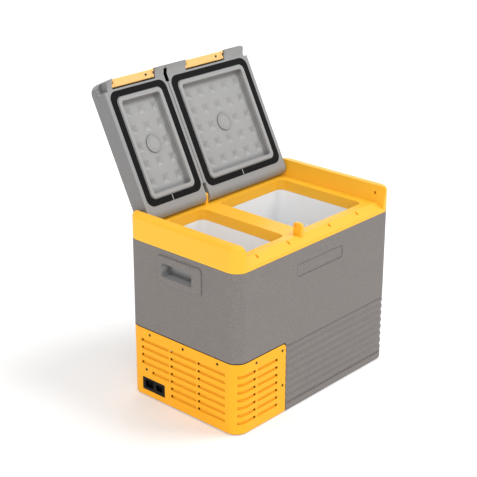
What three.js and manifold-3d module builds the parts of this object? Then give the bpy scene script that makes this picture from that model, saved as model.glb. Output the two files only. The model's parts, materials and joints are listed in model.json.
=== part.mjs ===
// Portable compressor cooler fridge with two compartments, each under its own lid.
// Millimetres. X runs along the cabinet, -Y is the front, +Z is up. The origin is the centre
// of the cabinet's underside; the rubber feet reach a little below it. Both lids stand open
// against their stops, turned about the hinge pins at the back.
import * as THREE from "three";
import { mergeVertices } from "three/addons/utils/BufferGeometryUtils.js";
import Module from "manifold-3d";

const wasm = await Module();
wasm.setup();

// Cabinet
const LENGTH = 620;
const WIDTH = 383;
const CORNER = 35; // plan radius of the four upright corners
const SHELL_WALL = 5;
const RIM_Z = 441; // joint between the grey shell and the rim
const LEDGE_Z = 466; // ledge that the lids close on
const CHEEK_Z = 509; // top of the raised end cheeks
const CHEEK_FOOT_X = 273; // inner face of a cheek at the ledge
const CHEEK_TOP_X = 284; // and at the top
const CHEEK_ROUND = 12;
const LEDGE_SLOTS = [-221, -103, 60, 176];
const SLOPE_Y = 167; // the ledge falls away from here to the front face
const BACK_SLOPE_Y = 175; // and from here to the back face
const SLOPE_DROP = 15;
const GAP = 0.3; // clearance between touching pieces

// Compartments
const END_X = 240; // outer end of either compartment
const DIVIDER_X = -50;
const DIVIDER_HALF = 30;
const OPENING_Y = 144;
const OPENING_RADIUS = 18;
const COLLAR_Z = 436; // the rim's collar ends here and the liner begins
const LARGE_FLOOR = 50;
const SMALL_FLOOR = 228; // clears the machine bay below it
const LINER_WALL = 2;

// Machine bay and louvred cover
const COVER_TOP = 197;
const COVER_END = -126;
const COVER_WALL = 3;
const COVER_CORNER = 12;
const FLANGE_INSET = COVER_WALL + GAP;
const FLANGE_WALL = 3;
const LOUVRE_ROWS = 7;
const LOUVRE_TOP_Z = 162;
const LOUVRE_PITCH = 21.6;
const LOUVRE_HEIGHT = 8;
const BLADE_INSET = 10; // how far in the blades' upper edges stand
const BLADE_DROP = 2.8; // the blades' upright thickness
const INLET = { y0: 65, y1: 148, z0: 17, z1: 54 };

// Ribs on the lower part of the shell
const RIB_COUNT = 8;
const RIB_TOP_Z = 187;
const RIB_PITCH = 21;
const RIB_ROOT = 2.4;
const RIB_CREST = 0.6;

// Lids, given closed; the hinge turns them open
const PIVOT_Y = 171;
const PIVOT_Z = 488;
const OPEN_ANGLE = THREE.MathUtils.degToRad(117);
const LID_BOTTOM = 467.3;
const LID_TOP = 508.5;
const LID_FRONT_Y = -188;
const LID_ROUND = 10;
const LID_CORNER = 28; // plan radius of the outer front corner
const LID_FOOT_X = 270.5; // lid end at its underside
const LID_TOP_X = 279; // and at its top
const LID_LEAN = (LID_TOP_X - LID_FOOT_X) / (LID_TOP - LID_BOTTOM);
const LID_SPLIT = 1; // half the gap between the two lids
const LID_SKIN = 3.5;
const HINGE_END = 20.5; // radius of the lid's rounded hinge edge
const NARROW_Y = PIVOT_Y - 18; // behind this the lid ends stand clear of the cheeks
const GASKET = { outerY: 156, outerR: 24, bottom: 466.6, groove: 4 };
const TRAY = { halfY: 137, rim: 10.5, bottom: 464.5, floor: 480, skin: 4.6, radius: 14 };
const DIMPLE = { pitch: 48, half: 13, depth: 3.4, edge: 6 };
const DISC = { radius: 24, rise: 2.7 };

// Lugs, hinge pins and latches
const LUG_HALF = 4.5;
const NOTCH_HALF = 6;
const FRONT_LUG = { y0: -176, y1: -148, top: 497 };
const REAR_LUG = { y0: 154, y1: 186, top: 498 };
const FRONT_NOTCH = { y0: -180, y1: -145, top: 501 };
const REAR_NOTCH_Y = 141;
const PIN_RADIUS = 3.5;
const PIN_HOLE = 4;
const PIN_LENGTH = 40;
const HOLE_END_X = 290;
const END_POCKET = { y: -171.5, z: 476.5, radius: 13, floor: 258 };
const LATCH_Y = -157; // axis of the latch pins
const LATCH_BAR = { half: 75, y0: -187, y1: -166, foot: 461, heel: 470, top: 497 };
const LATCH_BAY = { half: 76.5, lowBack: -161.5, back: -163.5, step: 482, top: 500 };
const LATCH_AXLE = { y: -177, z: 492, radius: 2, hole: 2.3, half: 80 };

// Handles, front badge and control panel
const HANDLE = { y0: -72, y1: 81, z0: 348, z1: 425, proud: 5, round: 12 };
const GRIP = { y0: -41, y1: 64, z0: 369, z1: 405, depth: 26, wall: 2.5, round: 6 };
const BADGE = { x0: -86, x1: 98, z0: 366, z1: 401, depth: 1.6, round: 9 };
const PANEL = { halfY: 69, z0: 450, z1: 492, depth: 8, round: 5 };
const BUTTON = { radius: 6, z: 461, pitch: 24 };

const HALF_L = LENGTH / 2;
const HALF_W = WIDTH / 2;

// ---------------------------------------------------------------- solids

function solid(geometry) {
  geometry.deleteAttribute("normal");
  geometry.deleteAttribute("uv");
  const merged = mergeVertices(geometry, 1e-4);
  return new wasm.Manifold(
    new wasm.Mesh({
      numProp: 3,
      vertProperties: merged.attributes.position.array,
      triVerts: new Uint32Array(merged.index.array),
    }),
  );
}

function geometryOf(manifold) {
  const { vertProperties, triVerts } = manifold.getMesh();
  const geometry = new THREE.BufferGeometry();
  geometry.setAttribute("position", new THREE.BufferAttribute(vertProperties, 3));
  geometry.setIndex(new THREE.BufferAttribute(triVerts, 1));
  const flat = geometry.toNonIndexed();
  flat.computeVertexNormals();
  return flat;
}

function join(first, ...others) {
  return others.reduce((sum, next) => sum.add(next), first);
}

function cut(body, ...tools) {
  return tools.reduce((rest, tool) => rest.subtract(tool), body);
}

function box(x0, x1, y0, y1, z0, z1) {
  const geometry = new THREE.BoxGeometry(x1 - x0, y1 - y0, z1 - z0);
  geometry.translate((x0 + x1) / 2, (y0 + y1) / 2, (z0 + z1) / 2);
  return solid(geometry);
}

function roundedRect(x0, x1, y0, y1, r) {
  const shape = new THREE.Shape();
  shape.moveTo(x0 + r, y0);
  shape.lineTo(x1 - r, y0);
  shape.absarc(x1 - r, y0 + r, r, -Math.PI / 2, 0);
  shape.lineTo(x1, y1 - r);
  shape.absarc(x1 - r, y1 - r, r, 0, Math.PI / 2);
  shape.lineTo(x0 + r, y1);
  shape.absarc(x0 + r, y1 - r, r, Math.PI / 2, Math.PI);
  shape.lineTo(x0, y0 + r);
  shape.absarc(x0 + r, y0 + r, r, Math.PI, Math.PI * 1.5);
  return shape;
}

function polygon(points) {
  return new THREE.Shape(points.map(([x, y]) => new THREE.Vector2(x, y)));
}

function extruded(shape, depth, segments, bevel = {}) {
  return new THREE.ExtrudeGeometry(shape, {
    depth,
    curveSegments: segments,
    bevelEnabled: false,
    ...bevel,
  });
}

// A plan outline raised from z0 to z1.
function slab(shape, z0, z1, segments = 3) {
  return solid(extruded(shape, z1 - z0, segments).translate(0, 0, z0));
}

// A (y, z) section run along X.
function alongX(shape, x0, x1, segments = 3) {
  const turn = new THREE.Matrix4().makeBasis(
    new THREE.Vector3(0, 1, 0),
    new THREE.Vector3(0, 0, 1),
    new THREE.Vector3(1, 0, 0),
  );
  return solid(extruded(shape, x1 - x0, segments).applyMatrix4(turn).translate(x0, 0, 0));
}

// An (x, z) section run along Y.
function alongY(shape, y0, y1, segments = 3) {
  const turn = new THREE.Matrix4().makeBasis(
    new THREE.Vector3(1, 0, 0),
    new THREE.Vector3(0, 0, 1),
    new THREE.Vector3(0, -1, 0),
  );
  return solid(extruded(shape, y1 - y0, segments).applyMatrix4(turn).translate(0, y1, 0));
}

function rodX(x0, x1, y, z, radius, sides = 12) {
  const geometry = new THREE.CylinderGeometry(radius, radius, x1 - x0, sides);
  geometry.rotateZ(Math.PI / 2).translate((x0 + x1) / 2, y, z);
  return solid(geometry);
}

function rodZ(x, y, z0, z1, radius, sides = 24) {
  const geometry = new THREE.CylinderGeometry(radius, radius, z1 - z0, sides);
  geometry.rotateX(Math.PI / 2).translate(x, y, (z0 + z1) / 2);
  return solid(geometry);
}

function tube(points, radius) {
  const path = new THREE.CatmullRomCurve3(points.map((p) => new THREE.Vector3(...p)));
  const section = new THREE.Shape().absarc(0, 0, radius, 0, Math.PI * 2);
  return solid(
    new THREE.ExtrudeGeometry(section, { steps: 16, curveSegments: 4, extrudePath: path }),
  );
}

// The cabinet's plan outline, drawn in by an inset all round.
function outline(inset) {
  const r = CORNER - inset;
  return roundedRect(-HALF_L + inset, HALF_L - inset, -HALF_W + inset, HALF_W - inset, r);
}

const compartments = {
  small: { x0: -END_X, x1: DIVIDER_X - DIVIDER_HALF, floor: SMALL_FLOOR },
  large: { x0: DIVIDER_X + DIVIDER_HALF, x1: END_X, floor: LARGE_FLOOR },
};

// A compartment's plan outline, grown outwards.
function mouth({ x0, x1 }, grow = 0) {
  const y = OPENING_Y + grow;
  return roundedRect(x0 - grow, x1 + grow, -y, y, OPENING_RADIUS + grow);
}

// ---------------------------------------------------------------- cabinet

function bayWindow(clear) {
  const right = COVER_END + clear;
  const top = COVER_TOP + clear;
  const shape = new THREE.Shape();
  shape.moveTo(-HALF_L - 20, -20);
  shape.lineTo(right, -20);
  shape.lineTo(right, top - COVER_CORNER);
  shape.absarc(right - COVER_CORNER, top - COVER_CORNER, COVER_CORNER, 0, Math.PI / 2);
  shape.lineTo(-HALF_L - 20, top);
  return alongY(shape, -HALF_W - 20, HALF_W + 20);
}

function rib(index) {
  const height = RIB_PITCH - 2;
  const depth = 1;
  const slope = (height - depth) / 2;
  const bevel = {
    bevelEnabled: true,
    bevelSegments: 1,
    bevelThickness: slope,
    bevelSize: RIB_ROOT + RIB_CREST,
  };
  const middle = RIB_TOP_Z - RIB_PITCH * (index + 0.5);
  return solid(extruded(outline(RIB_ROOT), depth, 3, bevel).translate(0, 0, middle - depth / 2));
}

function coverFlange() {
  const inner = FLANGE_INSET + FLANGE_WALL;
  const ring = cut(slab(outline(FLANGE_INSET), 0, 206), slab(outline(inner), -1, 207));
  const band = box(-HALF_L, -116, -HALF_W, HALF_W, COVER_TOP - 21, 206);
  const posts = box(-142, -116, -HALF_W, HALF_W, 0, 206);
  return ring.intersect(join(band, posts));
}

function outerShell() {
  const low = RIB_TOP_Z - RIB_PITCH * RIB_COUNT;
  const blank = join(
    slab(outline(0), RIB_TOP_Z, RIM_Z - GAP),
    slab(outline(RIB_ROOT), 1, RIB_TOP_Z + 2),
    slab(outline(0), 0, low),
    ...Array.from({ length: RIB_COUNT }, (_, i) => rib(i)),
  );
  const grips = [-1, 1].map((side) => gripBox(side, GRIP.wall + GAP));
  const badge = alongY(
    roundedRect(BADGE.x0, BADGE.x1, BADGE.z0, BADGE.z1, BADGE.round),
    -HALF_W - 5,
    -HALF_W + BADGE.depth,
  );
  const walls = cut(blank, slab(outline(SHELL_WALL), -5, RIM_Z + 5), bayWindow(0.6), badge, ...grips);
  return cut(join(walls, coverFlange()), ...coverScrews.map((screw) => screwHole(screw, 2.2, 10)));
}

function basePan() {
  const dishes = footPlaces().map(([x, y]) => rodZ(x, y, -5, 2.3, 16.4));
  return cut(slab(outline(FLANGE_INSET + FLANGE_WALL + GAP), 0, 5), ...dishes);
}

function footPlaces() {
  const x = HALF_L - 45;
  const y = HALF_W - 45;
  return [
    [-x, -y],
    [x, -y],
    [-x, y],
    [x, y],
  ];
}

function foot(x, y) {
  return rodZ(x, y, -2, 2, 16);
}

function rimFrame() {
  const bevel = {
    bevelEnabled: true,
    bevelSegments: 3,
    bevelThickness: CHEEK_ROUND,
    bevelSize: CHEEK_ROUND,
    bevelOffset: -CHEEK_ROUND,
  };
  const depth = CHEEK_Z - RIM_Z - CHEEK_ROUND + 20;
  const block = solid(extruded(outline(0), depth, 3, bevel).translate(0, 0, RIM_Z - 20));
  const above = CHEEK_Z + 20;
  const lean = (CHEEK_TOP_X - CHEEK_FOOT_X) / (CHEEK_Z - LEDGE_Z);
  const wide = CHEEK_FOOT_X + lean * (above - LEDGE_Z);
  const lidZone = polygon([
    [-CHEEK_FOOT_X, LEDGE_Z],
    [CHEEK_FOOT_X, LEDGE_Z],
    [wide, above],
    [-wide, above],
  ]);
  const tray = cut(
    block,
    box(-400, 400, -300, 300, RIM_Z - 60, RIM_Z),
    alongY(lidZone, -HALF_W - 10, HALF_W + 10),
    ledgeSlope(-1, SLOPE_Y),
    ledgeSlope(1, BACK_SLOPE_Y),
  );
  const collars = Object.values(compartments).map((c) => slab(mouth(c, 3.5), COLLAR_Z + 0.5, RIM_Z + 1));
  const lugs = [FRONT_LUG, REAR_LUG].map(lug);
  const openings = Object.values(compartments).map((c) => slab(mouth(c), COLLAR_Z - 10, CHEEK_Z));
  return cut(
    join(tray, ...collars, ...lugs),
    ...openings,
    ...pinHoles(),
    ...ledgeSlots(),
    panelPocket(),
  );
}

function ledgeSlope(side, start) {
  const edge = HALF_W + 1;
  const points = [
    [side * start, LEDGE_Z],
    [side * edge, LEDGE_Z - SLOPE_DROP],
    [side * (edge + 20), LEDGE_Z - SLOPE_DROP],
    [side * (edge + 20), LEDGE_Z + 5],
    [side * start, LEDGE_Z + 5],
  ];
  return alongX(polygon(points), -CHEEK_FOOT_X, CHEEK_FOOT_X);
}

function lug({ y0, y1, top }) {
  const shape = roundedRect(y0, y1, LEDGE_Z - 22, top, 8);
  return alongX(shape, DIVIDER_X - LUG_HALF, DIVIDER_X + LUG_HALF);
}

function pinHoles() {
  return [LATCH_Y, PIVOT_Y].flatMap((y) => [
    rodX(-HOLE_END_X, -CHEEK_FOOT_X + 10, y, PIVOT_Z, PIN_HOLE),
    rodX(CHEEK_FOOT_X - 10, HOLE_END_X, y, PIVOT_Z, PIN_HOLE),
    rodX(DIVIDER_X - 10, DIVIDER_X + 10, y, PIVOT_Z, PIN_HOLE),
  ]);
}

function ledgeSlots() {
  return LEDGE_SLOTS.map((x) => box(x - 3, x + 3, -179, -169, LEDGE_Z - 14, LEDGE_Z + 1));
}

function liner(compartment) {
  const top = COLLAR_Z + 0.2;
  const outer = slab(mouth(compartment, LINER_WALL), compartment.floor - LINER_WALL, top);
  return cut(outer, slab(mouth(compartment), compartment.floor, top + 5));
}

function evaporator({ x0, x1, floor }, grow = 0) {
  const y = OPENING_Y + LINER_WALL + GAP;
  const clear = 18 - grow;
  return box(x0 + clear, x1 - clear, y - grow, y + 2 + grow, floor + clear, COLLAR_Z - clear - 10);
}

function foamFilling() {
  const block = slab(outline(FLANGE_INSET + FLANGE_WALL + 0.4), 5.4, RIM_Z - 0.6);
  const bay = box(-HALF_L, COVER_END + 7.2, -HALF_W, HALF_W, 0, COVER_TOP + 9.4);
  const hollows = Object.values(compartments).flatMap((c) => [
    slab(mouth(c, LINER_WALL + GAP), c.floor - LINER_WALL - GAP, COLLAR_Z + 1),
    slab(mouth(c, 4), COLLAR_Z, RIM_Z + 1),
    evaporator(c, GAP),
  ]);
  const grips = [-1, 1].map((side) => gripBox(side, GRIP.wall + 2 * GAP));
  return cut(block, bay, ...hollows, ...grips);
}

function bulkhead() {
  const right = COVER_END + 6.5;
  const top = COVER_TOP + 9;
  const shape = polygon([
    [right - 2.5, 5.5],
    [right, 5.5],
    [right, top],
    [-HALF_L, top],
    [-HALF_L, top - 2.5],
    [right - 2.5, top - 2.5],
  ]);
  const inside = slab(outline(FLANGE_INSET + FLANGE_WALL + GAP), 0, RIM_Z);
  return alongY(shape, -HALF_W, HALF_W).intersect(inside);
}

// ---------------------------------------------------------------- cover and its fittings

const coverScrews = [
  { face: "left", at: 117, z: 183.5 },
  { face: "left", at: -3, z: 183.5 },
  { face: "left", at: -123, z: 183.5 },
  { face: "left", at: 132, z: 78 },
  { face: "front", at: -239, z: 184 },
  { face: "front", at: -139, z: 180 },
  { face: "front", at: -137, z: 80 },
  { face: "back", at: -239, z: 184 },
  { face: "back", at: -139, z: 180 },
  { face: "back", at: -137, z: 80 },
];

// Turns a lathe form whose axis is +Y, head outwards, to stand on one of the cabinet's faces.
function onFace(geometry, { face, at, z }) {
  if (face === "left") {
    return geometry.rotateZ(Math.PI / 2).translate(-HALF_L, at, z);
  }
  if (face === "front") {
    return geometry.rotateZ(Math.PI).translate(at, -HALF_W, z);
  }
  return geometry.translate(at, HALF_W, z);
}

function screwHole(screw, radius, depth) {
  const geometry = new THREE.CylinderGeometry(radius, radius, depth + 2, 10);
  return solid(onFace(geometry.translate(0, 1 - depth / 2, 0), screw));
}

function coverScrew(screw) {
  const profile = [
    [0, -8],
    [1.8, -8],
    [1.8, -1.5],
    [3.8, -1.5],
    [3.8, -0.5],
    [3, -0.1],
    [1.2, -0.1],
    [0.9, -0.9],
    [0, -0.9],
  ];
  const points = profile.map(([x, y]) => new THREE.Vector2(x, y));
  return solid(onFace(new THREE.LatheGeometry(points, 10), screw));
}

// Runs of louvres: along Y on the end face, and along X on the front and back faces.
const END_RUNS = [
  [-149, -54],
  [-49, 43],
];
const INLET_RUNS = [
  [48, 149],
  [48, 149],
  [48, 149],
  [48, 149],
  [48, 112],
];
const SIDE_RUNS = [
  [-299, -241],
  [-235, -157],
];

function endRuns(row) {
  return row < INLET_RUNS.length ? [...END_RUNS, INLET_RUNS[row]] : END_RUNS;
}

function louvreZ(row) {
  const z = LOUVRE_TOP_Z - row * LOUVRE_PITCH;
  return [z - LOUVRE_HEIGHT / 2, z + LOUVRE_HEIGHT / 2];
}

// Boxes over one row's runs, each shortened at both ends.
function runBoxes(row, z0, z1, reach, shorter) {
  const left = endRuns(row).map(([y0, y1]) =>
    box(-HALF_L - 5, -HALF_L + reach, y0 + shorter, y1 - shorter, z0, z1),
  );
  const sides = SIDE_RUNS.flatMap(([x0, x1]) => [
    box(x0 + shorter, x1 - shorter, -HALF_W - 5, -HALF_W + reach, z0, z1),
    box(x0 + shorter, x1 - shorter, HALF_W - reach, HALF_W + 5, z0, z1),
  ]);
  return join(...left, ...sides);
}

function louvreSlots(row) {
  const [z0, z1] = louvreZ(row);
  const skin = cut(slab(outline(-6), z0, z1), slab(outline(COVER_WALL + 1), z0 - 1, z1 + 1));
  return runBoxes(row, z0, z1, 25, 0).intersect(skin);
}

// One row's blades: they rise inwards from the lower edges of the slots.
function louvreBlades(row) {
  const [z0, z1] = louvreZ(row);
  const foot = z0 - 1.5;
  const rise = z1 + 2 - foot;
  const bevel = {
    bevelEnabled: true,
    bevelSegments: 1,
    bevelThickness: rise,
    bevelSize: BLADE_INSET - COVER_WALL + 0.6,
  };
  const cone = () => solid(extruded(outline(BLADE_INSET), 1, 3, bevel).translate(0, 0, foot - 1));
  const above = box(-400, 400, -300, 300, foot, z1 + 10);
  const core = slab(outline(BLADE_INSET + 1.2), foot - 1, z1 + 10);
  const band = cut(cone().intersect(above), cone().translate([0, 0, -BLADE_DROP]), core);
  return band.intersect(runBoxes(row, foot - 1, z1 + 10, 26, 4));
}

function louvreCover() {
  const wrap = cut(slab(outline(0), 0.6, COVER_TOP), slab(outline(COVER_WALL), -1, COVER_TOP + 1));
  const rows = Array.from({ length: LOUVRE_ROWS }, (_, row) => row);
  const window = box(-HALF_L - 5, -HALF_L + 8, INLET.y0, INLET.y1, INLET.z0, INLET.z1);
  const holes = coverScrews.flatMap((screw) => [screwHole(screw, 2.2, 10), screwHole(screw, 4.2, 1.8)]);
  const plate = cut(wrap.intersect(bayWindow(0)), ...rows.map(louvreSlots), window, ...holes);
  return join(plate, ...rows.map(louvreBlades));
}

function inletPanel() {
  const x = -HALF_L + 1;
  const block = box(x, x + 18, INLET.y0 + GAP, INLET.y1 - GAP, INLET.z0 + GAP, INLET.z1 - GAP);
  const mains = box(x - 1, x + 13, 110, 138, 26, 46);
  const pins = [118, 124, 130].map((y) => box(x + 5, x + 14, y - 1, y + 1, 33, 39));
  const direct = box(x - 1, x + 13, 76, 98, 28, 44);
  const blades = [83, 91].map((y) => box(x + 5, x + 14, y - 0.7, y + 0.7, 33, 39));
  return join(cut(block, mains, direct), ...pins, ...blades);
}

// ---------------------------------------------------------------- machine bay

const COMPRESSOR = { x: -182, y: -80 };
const FAN = { x: -250, y: -60, z: 96, radius: 56 };

function compressor() {
  const profile = [
    [0, 9],
    [44, 9],
    [51, 18],
    [53, 34],
    [53, 84],
    [55, 86],
    [55, 90],
    [53, 92],
    [50, 116],
    [40, 132],
    [22, 138],
    [0, 139],
  ];
  const points = profile.map(([x, y]) => new THREE.Vector2(x, y));
  const shell = new THREE.LatheGeometry(points, 20);
  shell.rotateX(Math.PI / 2).translate(COMPRESSOR.x, COMPRESSOR.y, 0);
  const { x, y } = COMPRESSOR;
  const plate = box(x - 52, x + 52, y - 62, y + 62, 5.3, 10);
  const corners = [-44, 44].flatMap((dx) => [-54, 54].map((dy) => [x + dx, y + dy]));
  const holes = corners.map(([mx, my]) => rodZ(mx, my, 0, 20, 4, 10));
  return cut(join(solid(shell), plate), ...holes);
}

function condenser() {
  const x0 = -297;
  const x1 = -269;
  const core = box(x0 + 3, x1 - 3, -148, 34, 20, 170);
  const slots = Array.from({ length: 13 }, (_, i) => {
    const y = -140 + i * 13;
    return box(x0 - 1, x1 + 1, y, y + 7, 28, 162);
  });
  const ends = [-150, 32].map((y) => box(x0, x1, y, y + 4, 18, 172));
  return join(cut(core, ...slots), ...ends);
}

function fanShroud() {
  const { x, y, z, radius } = FAN;
  const plate = box(x - 16, x + 10, y - 66, y + 66, z - 74, z + 74);
  const duct = rodX(x - 20, x + 20, y, z, radius + 3, 28);
  const hub = rodX(x - 14, x - 8.5, y, z, 19, 20);
  const arms = [0, 1, 2].map((i) => {
    const arm = new THREE.BoxGeometry(4, 5, 2 * radius + 8);
    arm.rotateX((i * Math.PI) / 3).translate(x - 12, y, z);
    return solid(arm);
  });
  return join(cut(plate, duct), hub, ...arms);
}

function fanRotor() {
  const { x, y, z, radius } = FAN;
  const hub = rodX(x - 7.5, x + 7, y, z, 20, 20);
  const blades = Array.from({ length: 7 }, (_, i) => {
    const blade = new THREE.BoxGeometry(2, 20, radius - 18);
    blade.rotateZ(Math.PI / 4).translate(0, 0, (radius + 18) / 2);
    blade.rotateX((i * 2 * Math.PI) / 7).translate(x, y, z);
    return solid(blade);
  });
  return join(hub, ...blades);
}

function controlModule() {
  const lid = box(-226, -146, 62, 168, 10, 58);
  const fins = [0, 1, 2, 3, 4].map((i) => box(-220 + i * 16, -214 + i * 16, 66, 164, 56, 72));
  return join(lid, ...fins);
}

function dischargeLine() {
  return tube(
    [
      [-182, -80, 140.5],
      [-182, -80, 162],
      [-184, -20, 182],
      [-230, 30, 184],
      [-283, 24, 184],
      [-283, 20, 174.5],
    ],
    3,
  );
}

// ---------------------------------------------------------------- handles, badge, panel

// The grip's box on the -X or +X end, grown outwards and open to the outside.
function gripBox(side, grow) {
  const shape = roundedRect(
    GRIP.y0 - grow,
    GRIP.y1 + grow,
    GRIP.z0 - grow,
    GRIP.z1 + grow,
    GRIP.round + grow,
  );
  const inner = HALF_L - GRIP.depth - grow;
  const outer = HALF_L + HANDLE.proud + 5;
  return side < 0 ? alongX(shape, -outer, -inner) : alongX(shape, inner, outer);
}

function handle(side) {
  const bevel = {
    bevelEnabled: true,
    bevelSegments: 2,
    bevelThickness: HANDLE.proud,
    bevelSize: HANDLE.proud,
    bevelOffset: -HANDLE.proud,
  };
  const shape = roundedRect(HANDLE.y0, HANDLE.y1, HANDLE.z0, HANDLE.z1, HANDLE.round);
  const turn = new THREE.Matrix4().makeBasis(
    new THREE.Vector3(0, 1, 0),
    new THREE.Vector3(0, 0, 1),
    new THREE.Vector3(1, 0, 0),
  );
  const plate = extruded(shape, 1, 3, bevel).applyMatrix4(turn);
  const bezel = solid(plate.translate(side * HALF_L - 0.5, 0, 0));
  const face = HALF_L + GAP;
  const outside = side < 0 ? box(-400, -face, -150, 150, 300, 460) : box(face, 400, -150, 150, 300, 460);
  const reach = HALF_L + HANDLE.proud;
  const bulk = side < 0 ? box(-reach, -250, -90, 90, 330, 440) : box(250, reach, -90, 90, 330, 440);
  const cup = gripBox(side, GRIP.wall).intersect(bulk);
  return cut(join(bezel.intersect(outside).intersect(bulk), cup), gripBox(side, 0));
}

function frontBadge() {
  const edge = 1;
  const shape = roundedRect(
    BADGE.x0 + edge,
    BADGE.x1 - edge,
    BADGE.z0 + edge,
    BADGE.z1 - edge,
    BADGE.round - edge,
  );
  return alongY(shape, -HALF_W + 0.5, -HALF_W + BADGE.depth - GAP);
}

function panelPocket() {
  const shape = roundedRect(-PANEL.halfY, PANEL.halfY, PANEL.z0, PANEL.z1, PANEL.round);
  return alongX(shape, HALF_L - PANEL.depth, HALF_L + 5);
}

const buttonNames = ["power", "set", "down", "up"];

function buttonY(index) {
  return (index - (buttonNames.length - 1) / 2) * BUTTON.pitch;
}

function controlPanel() {
  const shape = roundedRect(
    -PANEL.halfY + GAP,
    PANEL.halfY - GAP,
    PANEL.z0 + GAP,
    PANEL.z1 - GAP,
    PANEL.round,
  );
  const plate = alongX(shape, HALF_L - PANEL.depth + GAP, HALF_L);
  const window = box(HALF_L - 2, HALF_L + 1, -45, 45, 470.5, 488.5);
  const wells = buttonNames.map((_, i) =>
    rodX(HALF_L - 5.5, HALF_L + 1, buttonY(i), BUTTON.z, BUTTON.radius + 0.4, 14),
  );
  return cut(plate, window, ...wells);
}

function displayWindow() {
  return box(HALF_L - 2 + GAP, HALF_L - 0.4, -44.7, 44.7, 470.8, 488.2);
}

function button(index) {
  return rodX(HALF_L - 4, HALF_L + 0.8, buttonY(index), BUTTON.z, BUTTON.radius, 14);
}

// ---------------------------------------------------------------- lids

const lids = {
  small: {
    outer: -1,
    latchX: -164,
    inner: DIVIDER_X - LID_SPLIT,
    gasket: { x0: -259, x1: -60 },
    tray: { x0: -END_X + 2, x1: DIVIDER_X - DIVIDER_HALF - 2 },
  },
  large: {
    outer: 1,
    latchX: 104,
    inner: DIVIDER_X + LID_SPLIT,
    gasket: { x0: -40, x1: 259 },
    tray: { x0: DIVIDER_X + DIVIDER_HALF + 2, x1: END_X - 2 },
  },
};

function lidSection() {
  const fall = SLOPE_DROP / (HALF_W + 1 - SLOPE_Y);
  const shape = new THREE.Shape();
  shape.moveTo(-SLOPE_Y, LID_BOTTOM);
  shape.lineTo(PIVOT_Y, LID_BOTTOM + 0.2);
  shape.absarc(PIVOT_Y, PIVOT_Z, HINGE_END, -Math.PI / 2, Math.PI / 2);
  shape.lineTo(LID_FRONT_Y + LID_ROUND, LID_TOP);
  shape.absarc(LID_FRONT_Y + LID_ROUND, LID_TOP - LID_ROUND, LID_ROUND, Math.PI / 2, Math.PI);
  shape.lineTo(LID_FRONT_Y, LID_BOTTOM - fall * (-LID_FRONT_Y - SLOPE_Y));
  return shape;
}

// What lies outside the lid's leaning outer end, its narrow hinge end and its rounded front corner.
function lidEndTool(outer) {
  const low = LID_BOTTOM - 20;
  const high = LID_TOP + 10;
  const wedge = polygon([
    [outer * (LID_FOOT_X + LID_LEAN * (low - LID_BOTTOM)), low],
    [outer * 320, low],
    [outer * 320, high],
    [outer * (LID_FOOT_X + LID_LEAN * (high - LID_BOTTOM)), high],
  ]);
  const x = [outer * LID_FOOT_X, outer * 320].sort((a, b) => a - b);
  const narrow = box(...x, NARROW_Y, 230, low, high);
  return join(alongY(wedge, -230, 230), narrow, lidCorner(outer, high - low));
}

// The waste outside the rounded front corner, leaning with the lid's end.
function lidCorner(outer, height) {
  const cx = outer * (LID_FOOT_X - LID_CORNER);
  const cy = LID_FRONT_Y + LID_CORNER;
  const turn = outer > 0 ? [0, -Math.PI / 2, true] : [Math.PI, Math.PI * 1.5, false];
  const shape = new THREE.Shape();
  shape.moveTo(cx, LID_FRONT_Y - 20);
  shape.lineTo(outer * 320, LID_FRONT_Y - 20);
  shape.lineTo(outer * 320, cy);
  shape.absarc(cx, cy, LID_CORNER, ...turn);
  const shear = new THREE.Matrix4().makeShear(0, 0, 0, 0, outer * LID_LEAN, 0);
  const waste = extruded(shape, height, 6).translate(0, 0, -20);
  return solid(waste.applyMatrix4(shear).translate(0, 0, LID_BOTTOM));
}

function ringPlan({ x0, x1 }, y, r) {
  return roundedRect(x0, x1, -y, y, r);
}

function gasketBand({ gasket, tray }, clear, z0, z1) {
  const span = { x0: gasket.x0 - clear, x1: gasket.x1 + clear };
  const outer = ringPlan(span, GASKET.outerY + clear, GASKET.outerR);
  const edge = 2.5 - clear;
  const inner = ringPlan({ x0: tray.x0 - edge, x1: tray.x1 + edge }, TRAY.halfY + edge, TRAY.radius + 2);
  return cut(slab(outer, z0, z1), slab(inner, z0 - 1, z1 + 1));
}

function latchPinSpan({ outer, inner }, end) {
  const near = end === "outer" ? outer * (LID_FOOT_X + 3.8) : DIVIDER_X + outer * (NOTCH_HALF + 3.5);
  const far = end === "outer" ? near - outer * PIN_LENGTH : near + outer * PIN_LENGTH;
  return [near, far].sort((a, b) => a - b);
}

function hingePinSpan({ outer }, end) {
  const tip = end === "outer" ? outer * (HOLE_END_X - 2) : DIVIDER_X + outer * 0.6;
  const root = end === "outer" ? tip - outer * PIN_LENGTH : tip + outer * (PIN_LENGTH - 12);
  return [tip, root].sort((a, b) => a - b);
}

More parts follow.
